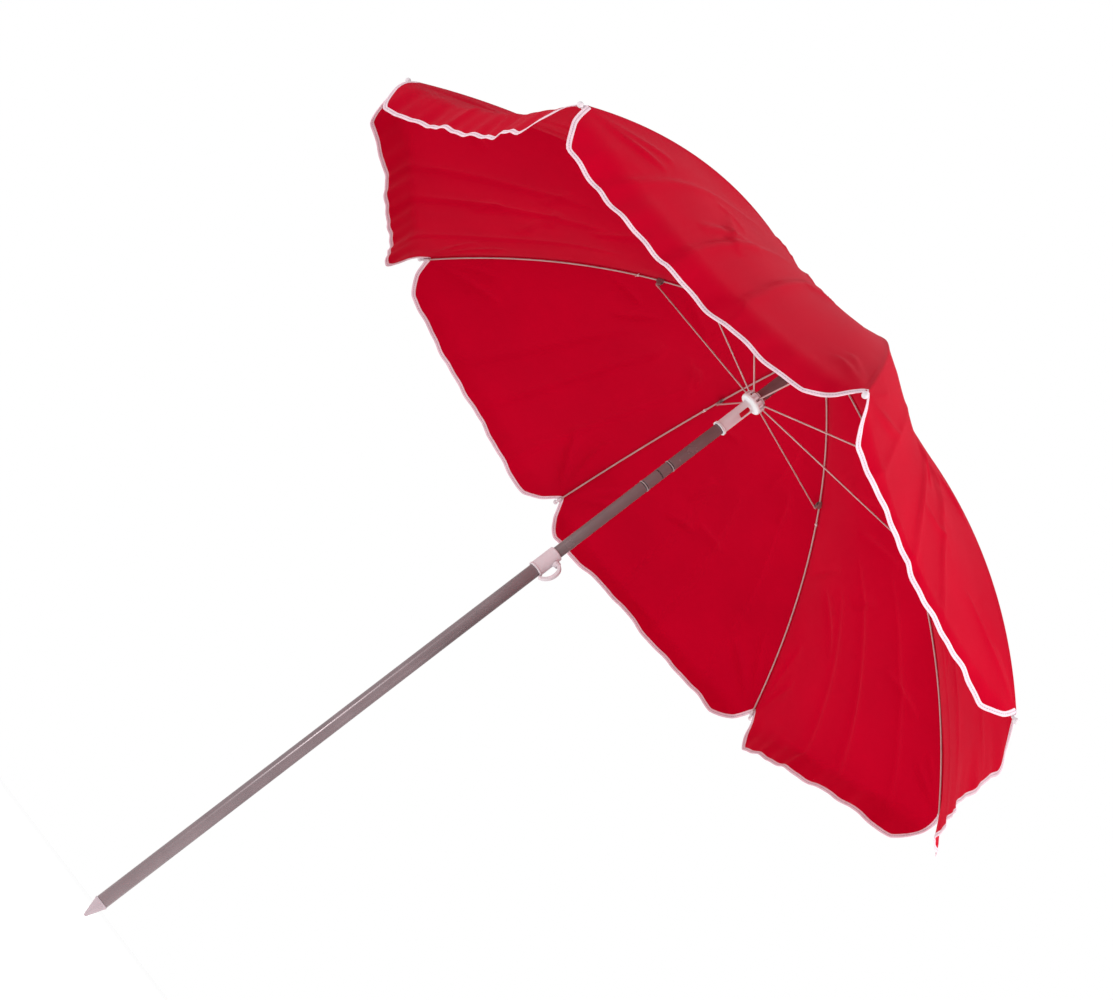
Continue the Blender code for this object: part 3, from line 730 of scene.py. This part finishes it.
def collar():
    """Clamp collar: stepped sleeve with a lip and the boss for the screw."""
    low_z, high_z = ends("height_collar")
    outer = COLLAR_R
    outline = [(outer - 0.0014, high_z), (outer - 0.0004, high_z - 0.0008), (outer - 0.0001, high_z - 0.0020),
               (outer, low_z + 0.0046), (outer + 0.0003, low_z + 0.0038), (outer + 0.0014, low_z + 0.0030),
               (outer + 0.0014, low_z + 0.0008), (outer + 0.0008, low_z), (LOWER_R + GAP, low_z),
               (LOWER_R + GAP, LOWER_TOP_Z + 0.0005), (UPPER_R + GAP, LOWER_TOP_Z + 0.0005),
               (UPPER_R + GAP, high_z)]
    sleeve = mesh_of(lathe(rounded(outline, 0.0003, 2), 96), "collar")
    boss = clamp_rod(BOSS_R, LOWER_R + 0.0012, BOSS_FACE, 48, BOSS_R - 0.0006)
    sleeve = cut(sleeve, boss, "UNION")
    sleeve = cut(sleeve, clamp_rod(SCREW_R + GAP, 0.008, BOSS_FACE + 0.005, 32))
    finish_piece("clamp_collar", sleeve, GREYISH, "lower_pole", ["height_collar"])


def clamp_handle():
    """Hooked thumb handle with its screw, swept from one curve and thinner towards its free end."""
    outward = [0.0180, 0.0232, 0.0280, 0.0312, 0.0322, 0.0308, 0.0270, 0.0215, 0.0160]
    down = [0.0, 0.0002, -0.0030, -0.0085, -0.0165, -0.0250, -0.0320, -0.0372, -0.0398]
    path = [around(out, CLAMP_Z + dz, CLAMP_ANGLE) for out, dz in zip(outward, down)]
    across = Vector((-math.sin(CLAMP_ANGLE), math.cos(CLAMP_ANGLE), 0.0))

    def section(share):
        """The handle's section, smaller towards its free end."""
        return slab(0.0104 - 0.0022 * share, 0.0072 - 0.0020 * share, 0.0016)

    points = smooth_path(path, 7)
    inward = [across.cross(step) for step in steps_beside(points)]
    handle = mesh_of(sweep(points, section, up=lambda i: inward[i]), "handle")
    handle = cut(handle, clamp_rod(BOSS_R - 0.0010, BOSS_FACE + GAP, 0.0215, 40), "UNION")
    handle = cut(handle, clamp_rod(SCREW_R, UPPER_R + GAP, 0.0205, 32), "UNION")
    finish_piece("clamp_handle", bevelled(handle, 0.0004), GREYISH, "clamp_screw",
                 ["clamp_screw"])


# ---- runner and crown

def window_prism(shrink):
    """A prism through the runner's round-cornered window, shrunk on every side."""
    low_c, high_c = CATCH_LOW_Z - 0.0055, CATCH_HIGH_Z + 0.0016
    middle, tall = (low_c + high_c) / 2, high_c - low_c
    path = [around(out, middle, CATCH_ANGLE) for out in (0.0080, 0.0160)]
    shape = slab(2 * (WINDOW_HALF - shrink), tall - 2 * shrink, 0.0030)
    return mesh_of(sweep(path, shape, up=(0, 0, 1)), "window")


def runner_sleeve():
    """Sliding sleeve: lipped grip, plain body with a window, and a drum head with slots and scallops."""
    low_z, high_z = ends("runner")
    pivot, bore, body_r, head_r = RUNNER_PIVOT_Z, RUNNER_BORE, RUNNER_R, HEAD_R
    outline = [(0.0194, high_z), (0.0205, high_z - 0.0006),
               (0.0205, pivot + 0.0032), (0.0137, pivot + 0.0032),
               (0.0137, pivot - 0.0015), (0.0164, pivot - 0.0015), (0.0164, pivot + 0.0010),
               (head_r - 0.0008, pivot + 0.0010), (head_r, pivot + 0.0002), (head_r, pivot - 0.0118),
               (head_r - 0.0014, pivot - 0.0146), (0.0150, pivot - 0.0160), (body_r + 0.0004, pivot - 0.0176),
               (body_r, pivot - 0.0190), (body_r, low_z + 0.0062), (0.0130, low_z + 0.0054),
               (0.0142, low_z + 0.0048), (0.0146, low_z + 0.0040), (0.0133, low_z + 0.0031),
               (0.0146, low_z + 0.0022), (0.0146, low_z), (bore, low_z), (bore, high_z)]
    sleeve = mesh_of(lathe(rounded(outline, 0.0005, 3), 128), "runner")
    turns = [k * STEP_ANGLE for k in range(RIBS)]
    slots = box_mesh((0.0155, -SLOT_HALF, pivot - 0.0085), (0.030, SLOT_HALF, high_z + 0.002), turns)
    sleeve = cut(sleeve, slots)
    scallops = box_mesh((head_r - 0.0010, -0.0024, pivot - 0.0090), (head_r + 0.004, 0.0024, pivot + 0.002),
                        [turn + HALF_PANEL for turn in turns])
    sleeve = cut(sleeve, scallops)
    sleeve = bevelled(cut(sleeve, window_prism(0.0)), 0.00025, 2, 50)
    finish_piece("runner_sleeve", sleeve, WHITE, "runner", ["runner"])


def release_plate():
    """Red plate, sprung over the pole's catch, that fills the runner's window."""
    low_z, high_z = CATCH_LOW_Z - 0.008, CATCH_HIGH_Z + 0.004
    inner, outer = PLATE_R
    shell = mesh_of(lathe([(outer, high_z), (outer, low_z), (inner, low_z), (inner, high_z)], 96), "shell")
    plate = bevelled(cut(window_prism(GAP / 2), shell, "INTERSECT"), 0.0001)
    finish_piece("release_plate", plate, RED, "runner")


def wire_ring(name, radius, wire_r, height, body, node):
    """A ring of wire about the pole."""
    points = [around(radius, height, 2 * math.pi * i / 72) for i in range(72)]
    mesh = mesh_of(sweep(points, circle(wire_r, 12), closed=True, up=(0, 0, 1)), name)
    finish_piece(name, mesh, WIRE, body, [node])


def catch_tooth():
    """Sprung tooth behind the runner's window, with a ramp on its lower outer edge."""
    low_z, high_z = CATCH_LOW_Z, CATCH_HIGH_Z
    root, toe, face = TOOTH_R
    outline = [(root, low_z), (toe, low_z), (face, low_z + 0.0040), (face, high_z), (root, high_z)]
    bm = sweep([(0.0, -CATCH_HALF, 0.0), (0.0, CATCH_HALF, 0.0)], outline, up=(0, 0, 1))
    mesh = bevelled(mesh_of(turned_about(bm, CATCH_ANGLE), "tooth"), 0.0003)
    finish_piece("catch_tooth", mesh, RED, "catch", ["runner_catch"])


def crown_notch():
    """Slotted hub that the ribs turn in."""
    low_z, high_z = ends("top_notch")
    outer, wire_half = HEAD_R, 0.0014
    pole_top, hub, hole = high("top_pole").z + GAP, UPPER_R + GAP, 0.0029
    outline = [(ROOT_R - wire_half, high_z), (ROOT_R - wire_half, NOTCH_Z - wire_half),
               (ROOT_R + wire_half, NOTCH_Z - wire_half), (ROOT_R + wire_half, high_z), (outer, high_z),
               (outer, low_z), (hub, low_z), (hub, pole_top), (hole, pole_top), (hole, high_z)]
    mesh = mesh_of(lathe(rounded(outline[::-1], 0.0005, 3), 128), "notch")
    slots = box_mesh((0.0133, -SLOT_HALF, low_z - 0.002), (0.030, SLOT_HALF, high_z + 0.002),
                     [k * STEP_ANGLE for k in range(RIBS)])
    mesh = bevelled(cut(mesh, slots), 0.00025, 2, 50)
    finish_piece("crown_notch", mesh, GREYISH, "top_pole", ["top_notch"])


def crown_cap():
    """Flanged cap that clamps the cloth, with a small turned finial."""
    base, deck, top = low("top_cap").z, high("top_notch").z + 0.0062, high("top_cap").z
    knob_r = 0.0058
    outline = ball_line(knob_r, top - knob_r, math.pi * 0.78, 9)
    outline += [(0.0042, deck + 0.0112), (0.0044, deck + 0.0090), (0.0056, deck + 0.0074),
                (0.0150, deck + 0.0046), (0.0205, deck + 0.0022), (0.0215, deck + 0.0008), (0.0213, deck),
                (0.0026, deck), (0.0026, base), (0.0, base)]
    turned_piece("crown_cap", outline, 72, WHITE, "top_pole", "top_cap")


# ---- ribs, stretchers, clips, tips

def rib_point(arc):
    """(radius, height, slope) of a rib's centre line at a distance along it."""
    slope = ROOT_SLOPE + arc / BEND_R
    radius = ROOT_R + BEND_R * (math.sin(slope) - math.sin(ROOT_SLOPE))
    return radius, RIB_TOP_Z - BEND_R * (math.cos(ROOT_SLOPE) - math.cos(slope)), slope


def on_rib(k, arc, turn=0.0):
    """Matrix that puts a part on rib k at a distance along it, turned about the axis across the rib."""
    radius, height, slope = rib_point(arc)
    return (Matrix.Rotation(k * STEP_ANGLE, 4, "Z") @ Matrix.Translation((radius, 0.0, height))
            @ Matrix.Rotation(slope + turn, 4, "Y"))


def wires(kind, path, radius, material):
    """Eight wires along one path, turned about the pole."""
    for k in range(RIBS):
        bm = turned_about(sweep(path, circle(radius, 12), up=(0, 1, 0)), k * STEP_ANGLE)
        node = f"{kind}_{k + 1}"
        finish_piece(f"{kind}_wire_{k + 1}", mesh_of(bm, kind), material, node, [node])


def rib_wires():
    """Eight bowed wires, each hooked round the notch's ring."""
    path = []
    for i in range(20):
        turn = math.radians(330 - 240 * i / 19)
        path.append(Vector((ROOT_R + EYE_R * math.cos(turn), 0.0, NOTCH_Z + EYE_R * math.sin(turn))))
    count = 90
    for i in range(1, count + 1):
        radius, height, _ = rib_point(RIB_LENGTH * i / count)
        path.append(Vector((radius, 0.0, height)))
    wires("rib", path, RIB_R, RIB_WIRE)


def stretcher_wires():
    """Eight straight wires, each hooked round its clip's rivet."""
    inner = Vector((ROOT_R - CLIP_R, 0.0, RUNNER_PIVOT_Z - CLIP_Z))
    along = inner.normalized()
    below = Vector((along.z, 0.0, -along.x))
    if below.z > 0:
        below.negate()
    pivot = Vector((CLIP_R, 0.0, CLIP_Z))
    path = []
    for i in range(20):
        turn = math.radians(240 * (1 - i / 19))
        path.append(pivot + EYE_R * (math.cos(turn) * below - math.sin(turn) * along))
    start = path[-1]
    path += [start.lerp(pivot + inner, i / 30) for i in range(1, 31)]
    wires("stretcher", path, STRETCHER_R, WIRE)


def clip_saddles():
    """Eight folded steel saddles: rounded fold over the rib, ears that taper to the rivet."""
    half, sheet, inside = 0.0029, 0.0009, 0.0020
    top, skirt = RIB_R + GAP + sheet, -CLIP_DROP - 0.0030
    solid = box_mesh((-0.0070, -half, skirt), (0.0070, half, top))
    channel = box_mesh((-0.02, -inside, skirt - 0.01), (0.02, inside, RIB_R + GAP))
    solid = cut(solid, channel)
    for side in (-1, 1):
        corner = box_mesh((-0.006, -0.01, -0.004), (0.006, 0.01, 0.004))
        corner.transform(Matrix.Translation((side * 0.0094, 0.0, skirt + 0.0015))
                         @ Matrix.Rotation(side * 0.6, 4, "Y"))
        solid = cut(solid, corner)
    solid = bevelled(solid, 0.00045, 3, 40)
    rivet = rod_mesh(0.0011, (0, -half - 0.0006, -CLIP_DROP), (0, half + 0.0006, -CLIP_DROP), 24)
    solid = cut(solid, rivet, "UNION")
    for side in (-1, 1):
        head = rod_mesh(0.0021, (0, side * (half - 0.0002), -CLIP_DROP),
                        (0, side * (half + 0.0007), -CLIP_DROP), 24, 0.0014)
        solid = cut(solid, head, "UNION")
    for k in range(RIBS):
        mesh = solid.copy()
        mesh.transform(on_rib(k, CLIP_ARC))
        finish_piece(f"clip_saddle_{k + 1}", mesh, PRESSED, f"rib_{k + 1}",
                     [f"rib_clip_{k + 1}"])


def tip_balls():
    """Eight moulded caps over the ribs' ends, each with its ball and a ridge that holds the hem."""
    bore, mouth = RIB_R + 2 * GAP, -0.0137
    outline = ball_line(BALL_R, BALL_OUT, math.pi * 0.83, 14)
    outline += [(0.0029, 0.0002), (0.0031, -0.0020), (0.0037, -0.0028), (0.0037, -0.0036), (0.0031, -0.0044),
                (0.0029, mouth + 0.0006), (0.0026, mouth), (bore, mouth), (bore, GAP), (0.0, GAP)]
    for k in range(RIBS):
        bm = lathe(outline, 32, open_axis=True)
        for vert in bm.verts:
            vert.co.x -= BALL_LIFT * max(0.0, min(1.0, vert.co.z / 0.0025)) ** 2
        bmesh.ops.transform(bm, verts=bm.verts, matrix=on_rib(k, RIB_LENGTH, math.pi / 2))
        finish_piece(f"tip_ball_{k + 1}", mesh_of(bm, "tip"), GREYISH, f"rib_{k + 1}",
                     [f"rib_tip_{k + 1}"])


def thread_ties():
    """Eight ties of white thread, each round a rib just outside its clip, with two cut ends."""
    wraps, wire, per_turn, pitch, clear = 3, 0.00042, 20, 0.0011, 0.00055
    for k in range(RIBS):
        place = on_rib(k, CLIP_ARC + 0.052 + 0.004 * math.sin(2.3 * k))
        points = []
        for i in range(wraps * per_turn + 1):
            turn = 2 * math.pi * i / per_turn + 0.6 * k
            lift = 0.0011 if math.sin(turn) > 0 else 0.0
            points.append(Vector((pitch * (i / per_turn - wraps / 2), (RIB_R + clear) * math.cos(turn),
                                  (RIB_R + clear + lift) * math.sin(turn))))
        tail = [points[-1] + Vector((0.0009 * j, 0.0003 * j, -0.0004 * j * j)) for j in range(1, 4)]
        bm = sweep(points + tail, circle(wire, 6))
        bmesh.ops.transform(bm, verts=bm.verts, matrix=place)
        finish_piece(f"thread_tie_{k + 1}", mesh_of(bm, "tie"), THREAD, f"rib_{k + 1}")


# ---- canopy

def flap(aside, depth):
    """How far the hem reaches past a rib's end, at a distance aside from the notch at the tip."""
    share = min(aside / FLAP_CORNER, 1.0)
    rounded_share = (1 - (1 - share) ** FLAP_ROUNDING) ** (1 / FLAP_ROUNDING)
    opened = min(1.0, aside / V_REACH) ** 0.35
    return (depth + FLAP_NOTCH) * rounded_share * opened - FLAP_NOTCH


def cloth_line(arc, hang):
    """(radius, height, slope) of the cloth over a rib, carried on past the tip down a flap that hangs."""
    radius, height, slope = rib_point(min(arc, RIB_LENGTH))
    past = max(0.0, arc - RIB_LENGTH)
    turned = (hang - slope) * min(past / FLAP_BEND, 1.0)
    middle = slope + turned * (0.5 if past < FLAP_BEND else 1 - 0.5 * FLAP_BEND / past)
    lift = CLOTH_LIFT + (CROWN_LIFT - CLOTH_LIFT) * max(0.0, 1 - arc / 0.075) ** 2
    radius += past * math.cos(middle) + lift * math.sin(slope)
    height += -past * math.sin(middle) + lift * math.cos(slope)
    return radius, height, slope + turned


def wave(*terms):
    """Sum of sines, each (amplitude, argument)."""
    return sum(size * math.sin(angle) for size, angle in terms)


def ridge(across, along, start, end, height, width):
    """Height of a soft crease along a line on a panel, with positions in metres on the panel."""
    run_x, run_y = end[0] - start[0], end[1] - start[1]
    length = math.hypot(run_x, run_y)
    share = ((across - start[0]) * run_x + (along - start[1]) * run_y) / (length * length)
    if share <= 0 or share >= 1:
        return 0.0
    off = ((across - start[0]) * run_y - (along - start[1]) * run_x) / length
    off += 0.10 * length * share * (1 - share)
    reach = abs(off) / width
    if reach > 6:
        return 0.0
    step = 0.35 * math.tanh(off / width) * math.exp(-reach / 2.5)
    return height * (math.exp(-reach) + step) * math.sin(math.pi * share) ** 0.6


def scatter(panel, number):
    """A repeatable value from 0 to 1 for a panel and a number."""
    return math.sin(12.9898 * (panel + 1) + 78.233 * (number + 1)) * 43758.5453 % 1.0


def panel_creases(panel):
    """Creases of a panel as (start, end, height, width): folds from packing and pulls from tips and crown."""
    half, reach = HALF_CHORD, RIB_LENGTH
    out = []
    for number, middle in enumerate((-0.06, 0.30, -0.55)):
        lean = 0.12 * (scatter(panel, number) - 0.5)
        start = ((middle + lean) * half * 0.55, reach * (0.46 + 0.12 * scatter(panel, number + 9)))
        end = ((middle - lean) * half * 1.05, reach + 0.10)
        out.append((start, end, 0.0060 - 0.0011 * number, 0.0090))
    for number in range(6):
        left = -1 if number % 2 else 1
        turn = math.radians(12 + 17 * (number // 2) + 8 * scatter(panel, number + 20))
        length = 0.10 + 0.13 * scatter(panel, number + 30)
        tip = (left * half * 0.985, reach - 0.004)
        end = (tip[0] - left * length * math.sin(turn), tip[1] - length * math.cos(turn))
        out.append((tip, end, 0.0072, 0.0080))
    for number in range(6):
        across = half * (1.3 * scatter(panel, number + 40) - 0.65)
        along = reach * (0.30 + 0.50 * scatter(panel, number + 50))
        turn = math.pi * scatter(panel, number + 60)
        length = 0.06 + 0.10 * scatter(panel, number + 70)
        out.append(((across * along / reach, along), (across * along / reach + length * math.cos(turn),
                    along + length * math.sin(turn)), 0.0052, 0.0085))
    return out


CREASES = [panel_creases(panel) for panel in range(RIBS)]


def panel_wrinkle(panel, share, arc):
    """Height of a panel's wrinkles at a share, 0 to 1, from its first rib to its second."""
    seed = 1.7 * panel
    radius = rib_point(min(arc, RIB_LENGTH))[0]
    across = (2 * share - 1) * radius * math.sin(HALF_PANEL)
    down = arc / RIB_LENGTH
    middle = 4 * share * (1 - share)
    total = sum(ridge(across, arc, *crease) for crease in CREASES[panel])
    total += 0.0055 * math.sin(6.5 * down + 2.2 * share + seed) * math.exp(-((down - 0.80) / 0.25) ** 2)
    total += 0.0032 * math.sin(13 * down - 6 * share + 2.1 * seed) * math.exp(-((down - 0.5) / 0.25) ** 2)
    past = max(0.0, arc - RIB_LENGTH + 0.03)
    ripple = min(past / 0.09, 1.2) ** 1.2 * wave(
        (0.0030, 2 * math.pi * share * 2.6 + seed), (0.0017, 2 * math.pi * share * 5.3 + 2.3 * seed),
        (0.0010, 2 * math.pi * share * 12.0 + seed * seed))
    return total * min(1.0, middle * 2.2) + ripple * min(1.0, middle * 4)


def hem_ripple(panel, share):
    """How far the hem's line wanders in and out along a panel."""
    seed = 2.9 * panel
    ends = min(1.0, 14 * share * (1 - share))
    return ends * wave((0.0022, 2 * math.pi * share * 2.3 + seed), (0.0013, 2 * math.pi * share * 5.9 - seed),
                       (0.0006, 2 * math.pi * share * 12.7 + 2 * seed))


def cloth_point(sector, down, spread):
    """(point, normal, arc) on a sector's cloth: down 0 to 1 to the hem, spread -1 to 1 across it."""
    side = 1.0 if spread >= 0 else -1.0
    away = abs(spread) / 2
    panel = sector if spread >= 0 else (sector - 1) % RIBS
    share = away if spread >= 0 else 1 - away
    reach = RIB_LENGTH + flap(abs(spread) * HALF_CHORD, FLAP_DEPTHS[panel]) + hem_ripple(panel, share)
    arc = CLOTH_START + (reach - CLOTH_START) * down
    radius, height, slope = cloth_line(arc, FLAP_SLOPES[panel])
    turn = side * STEP_ANGLE
    x = radius * (1 - away) + radius * math.cos(turn) * away
    y = radius * math.sin(turn) * away
    sag = SAG_SHARE * 2 * radius * math.sin(HALF_PANEL) * (2 * abs(spread) - spread * spread)
    middle = side * HALF_PANEL
    flat_normal = around(math.sin(slope), math.cos(slope), middle)
    offset = panel_wrinkle(panel, share, arc) - sag
    return Vector((x, y, height)) + flat_normal * offset, flat_normal, arc


def sector_rows():
    """Shares down the cloth of a sector's rows, closer together towards the flap."""
    count = 150
    return [1 - (1 - i / count) ** 1.15 for i in range(count + 1)]


def sector_columns():
    """Spreads across a sector of its columns, closer together beside the seam."""
    half = 52
    right = [(i / half) ** 1.3 for i in range(half + 1)]
    return [-spread for spread in right[:0:-1]] + right


def cloth_sector(k):
    """One sector of the canopy: the cloth over rib k, out to the middle of the two panels, with its seam."""
    rows, columns = sector_rows(), sector_columns()
    bm = bmesh.new()
    uv = bm.loops.layers.uv.new("UVMap")
    grid, flat = [], {}
    for down in rows:
        line = []
        for spread in columns:
            point, normal, arc = cloth_point(k, down, spread)
            aside = point.y
            if abs(aside) < SEAM_HALF:
                point += normal * SEAM_RISE * (1 - (aside / SEAM_HALF) ** 4)
            line.append(bm.verts.new(point))
            flat[line[-1]] = (aside, arc)
        grid.append(line)
    for upper, lower in zip(grid, grid[1:]):
        for j in range(len(columns) - 1):
            face = bm.faces.new((upper[j], lower[j], lower[j + 1], upper[j + 1]))
            face.smooth = True
            for loop in face.loops:
                loop[uv].uv = flat[loop.vert]
    turned_about(bm, k * STEP_ANGLE)
    mesh = bpy.data.meshes.new("cloth")
    bm.to_mesh(mesh)
    bm.free()
    return finish_piece(f"cloth_{k + 1}", mesh, CLOTH, f"rib_{k + 1}", [f"canopy_{k + 1}"],
                        smooth=False)


def cut_area(k):
    """Flat area of a sector's cut, without sag or wrinkles: each half panel bends in one direction only."""
    rows, columns = 120, 40
    area = 0.0
    for panel in (k - 1, k):
        for column in range(columns):
            reach = RIB_LENGTH + flap((column + 0.5) / columns * HALF_CHORD, FLAP_DEPTHS[panel])
            step = (reach - CLOTH_START) / rows
            for row in range(rows):
                radius, _, slope = cloth_line(CLOTH_START + (row + 0.5) * step, FLAP_SLOPES[panel])
                slant = math.hypot(math.cos(slope) * math.cos(HALF_PANEL), math.sin(slope))
                area += abs(radius) * math.sin(HALF_PANEL) / columns * slant * step
    return area


def hem_tape(k):
    """White bias binding folded over one sector's hem."""
    points, inward = [], []
    for spread in sector_columns():
        point, _, _ = cloth_point(k, 1.0, spread)
        inner, _, _ = cloth_point(k, 0.992, spread)
        inward.append((inner - point).normalized())
        points.append(point + inward[-1] * (TAPE_WIDTH / 2 - TAPE_OVERHANG))
    faces = [step.normalized().cross(side).normalized() for step, side in zip(steps_beside(points), inward)]
    bm = sweep(points, slab(TAPE_WIDTH, TAPE_THICKNESS, TAPE_CORNER, 3), up=lambda i: faces[i])
    return finish_piece(f"hem_tape_{k + 1}", mesh_of(turned_about(bm, k * STEP_ANGLE), "tape"), TAPE,
                        f"rib_{k + 1}")


def canopy():
    """Eight cloth sectors with their binding, each carried on its rib's body."""
    for k in range(RIBS):
        cloth = cloth_sector(k)
        tape = hem_tape(k)
        for obj in (cloth, tape):
            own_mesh(obj)
        cut_area(k)


# ---- carried-over CAD nodes

def finish_cad_nodes():
    """Give the inside pieces that keep their CAD shape their materials."""
    looks = {"tilt_plug": ZINC, "tilt_pin": WIRE, "tilt_tongue": ZINC, "tilt_upper_plug": ZINC,
             "tilt_spring": WIRE, "stop_rivet": ZINC}
    for node, material in looks.items():
        mesh = frame["nodes"][node].data
        mesh.materials.clear()
        mesh.materials.append(material)


# ---- studio

def light(name, place, aim, energy, size):
    """A soft area light aimed at a point."""
    data = bpy.data.lights.new(name, "AREA")
    data.energy = energy
    data.shape = "DISK"
    data.size = size
    lamp = holding(data, name)
    lamp.location = place
    lamp.rotation_euler = (Vector(aim) - Vector(place)).to_track_quat("-Z", "Y").to_euler()


def backdrop_light(tree):
    """A white backdrop behind the object, in a dimmer room that is lighter on its +X side."""
    make, link = tree.nodes.new, tree.links.new
    place = make("ShaderNodeTexCoord").outputs["Generated"]
    strength = make("ShaderNodeMath")
    strength.operation = "MAXIMUM"
    parts = ((BACKDROP, 0.74, 0.90, 0.0, 1.0), ((1.0, 0.0, 0.25), -1.0, 1.0, 0.20, 0.86))
    for number, (direction, *numbers) in enumerate(parts):
        facing = make("ShaderNodeVectorMath")
        facing.operation = "DOT_PRODUCT"
        facing.inputs[1].default_value = direction
        reach = make("ShaderNodeMapRange")
        for name, value in zip(("From Min", "From Max", "To Min", "To Max"), numbers):
            reach.inputs[name].default_value = value
        link(place, facing.inputs[0])
        link(facing.outputs["Value"], reach.inputs["Value"])
        link(reach.outputs["Result"], strength.inputs[number])
    background = tree.nodes["Background"]
    background.inputs["Color"].default_value = (1.0, 1.0, 1.0, 1.0)
    link(strength.outputs[0], background.inputs["Strength"])


def studio():
    """White surroundings, a pale floor, two soft lights and the camera."""
    scene = bpy.context.scene
    scene.view_settings.view_transform = "Standard"
    scene.world = bpy.data.worlds.new("studio")
    scene.world.use_nodes = True
    backdrop_light(scene.world.node_tree)
    bm = bmesh.new()
    bmesh.ops.create_circle(bm, cap_ends=True, segments=96, radius=FLOOR_RADIUS)
    floor_mesh = mesh_of(bm, "floor")
    floor_mesh.materials.append(studio_floor())
    floor = holding(floor_mesh, "floor")
    floor.location.z = -FLOOR_DROP
    crown = Vector((0.0, 0.0, NOTCH_Z))
    light("key", (-3.2, 2.2, 3.2), crown, 200.0, 0.7)
    light("fill", (3.4, 2.6, 1.0), (0.0, 0.0, 1.1), 45.0, 0.7)

    camera = bpy.data.cameras.new("camera")
    camera.sensor_width = 36.0
    camera.lens = CAMERA_LENS
    eye = holding(camera, "camera")
    ahead = around(math.cos(CAMERA_RISE), math.sin(CAMERA_RISE), CAMERA_HEADING)
    right = ahead.cross(Vector((0, 0, 1))).normalized()
    upright = right.cross(ahead)
    top = upright * math.cos(CAMERA_ROLL) + right * math.sin(CAMERA_ROLL)
    side = ahead.cross(top)
    eye.matrix_world = Matrix.Translation(CAMERA_PLACE) @ Matrix((side, top, -ahead)).transposed().to_4x4()
    scene.camera = eye


ground_spike()
lower_tube()
upper_tubes()
collar()
clamp_handle()
runner_sleeve()
release_plate()
catch_tooth()
crown_notch()
crown_cap()
wire_ring("runner_ring", RUNNER_RING_R, 0.0009, RUNNER_PIVOT_Z - 0.0002, "runner", "runner_wire")
wire_ring("notch_ring", ROOT_R, 0.0010, NOTCH_Z, "top_pole", "notch_wire")
rib_wires()
stretcher_wires()
clip_saddles()
tip_balls()
thread_ties()
canopy()
finish_cad_nodes()
studio()
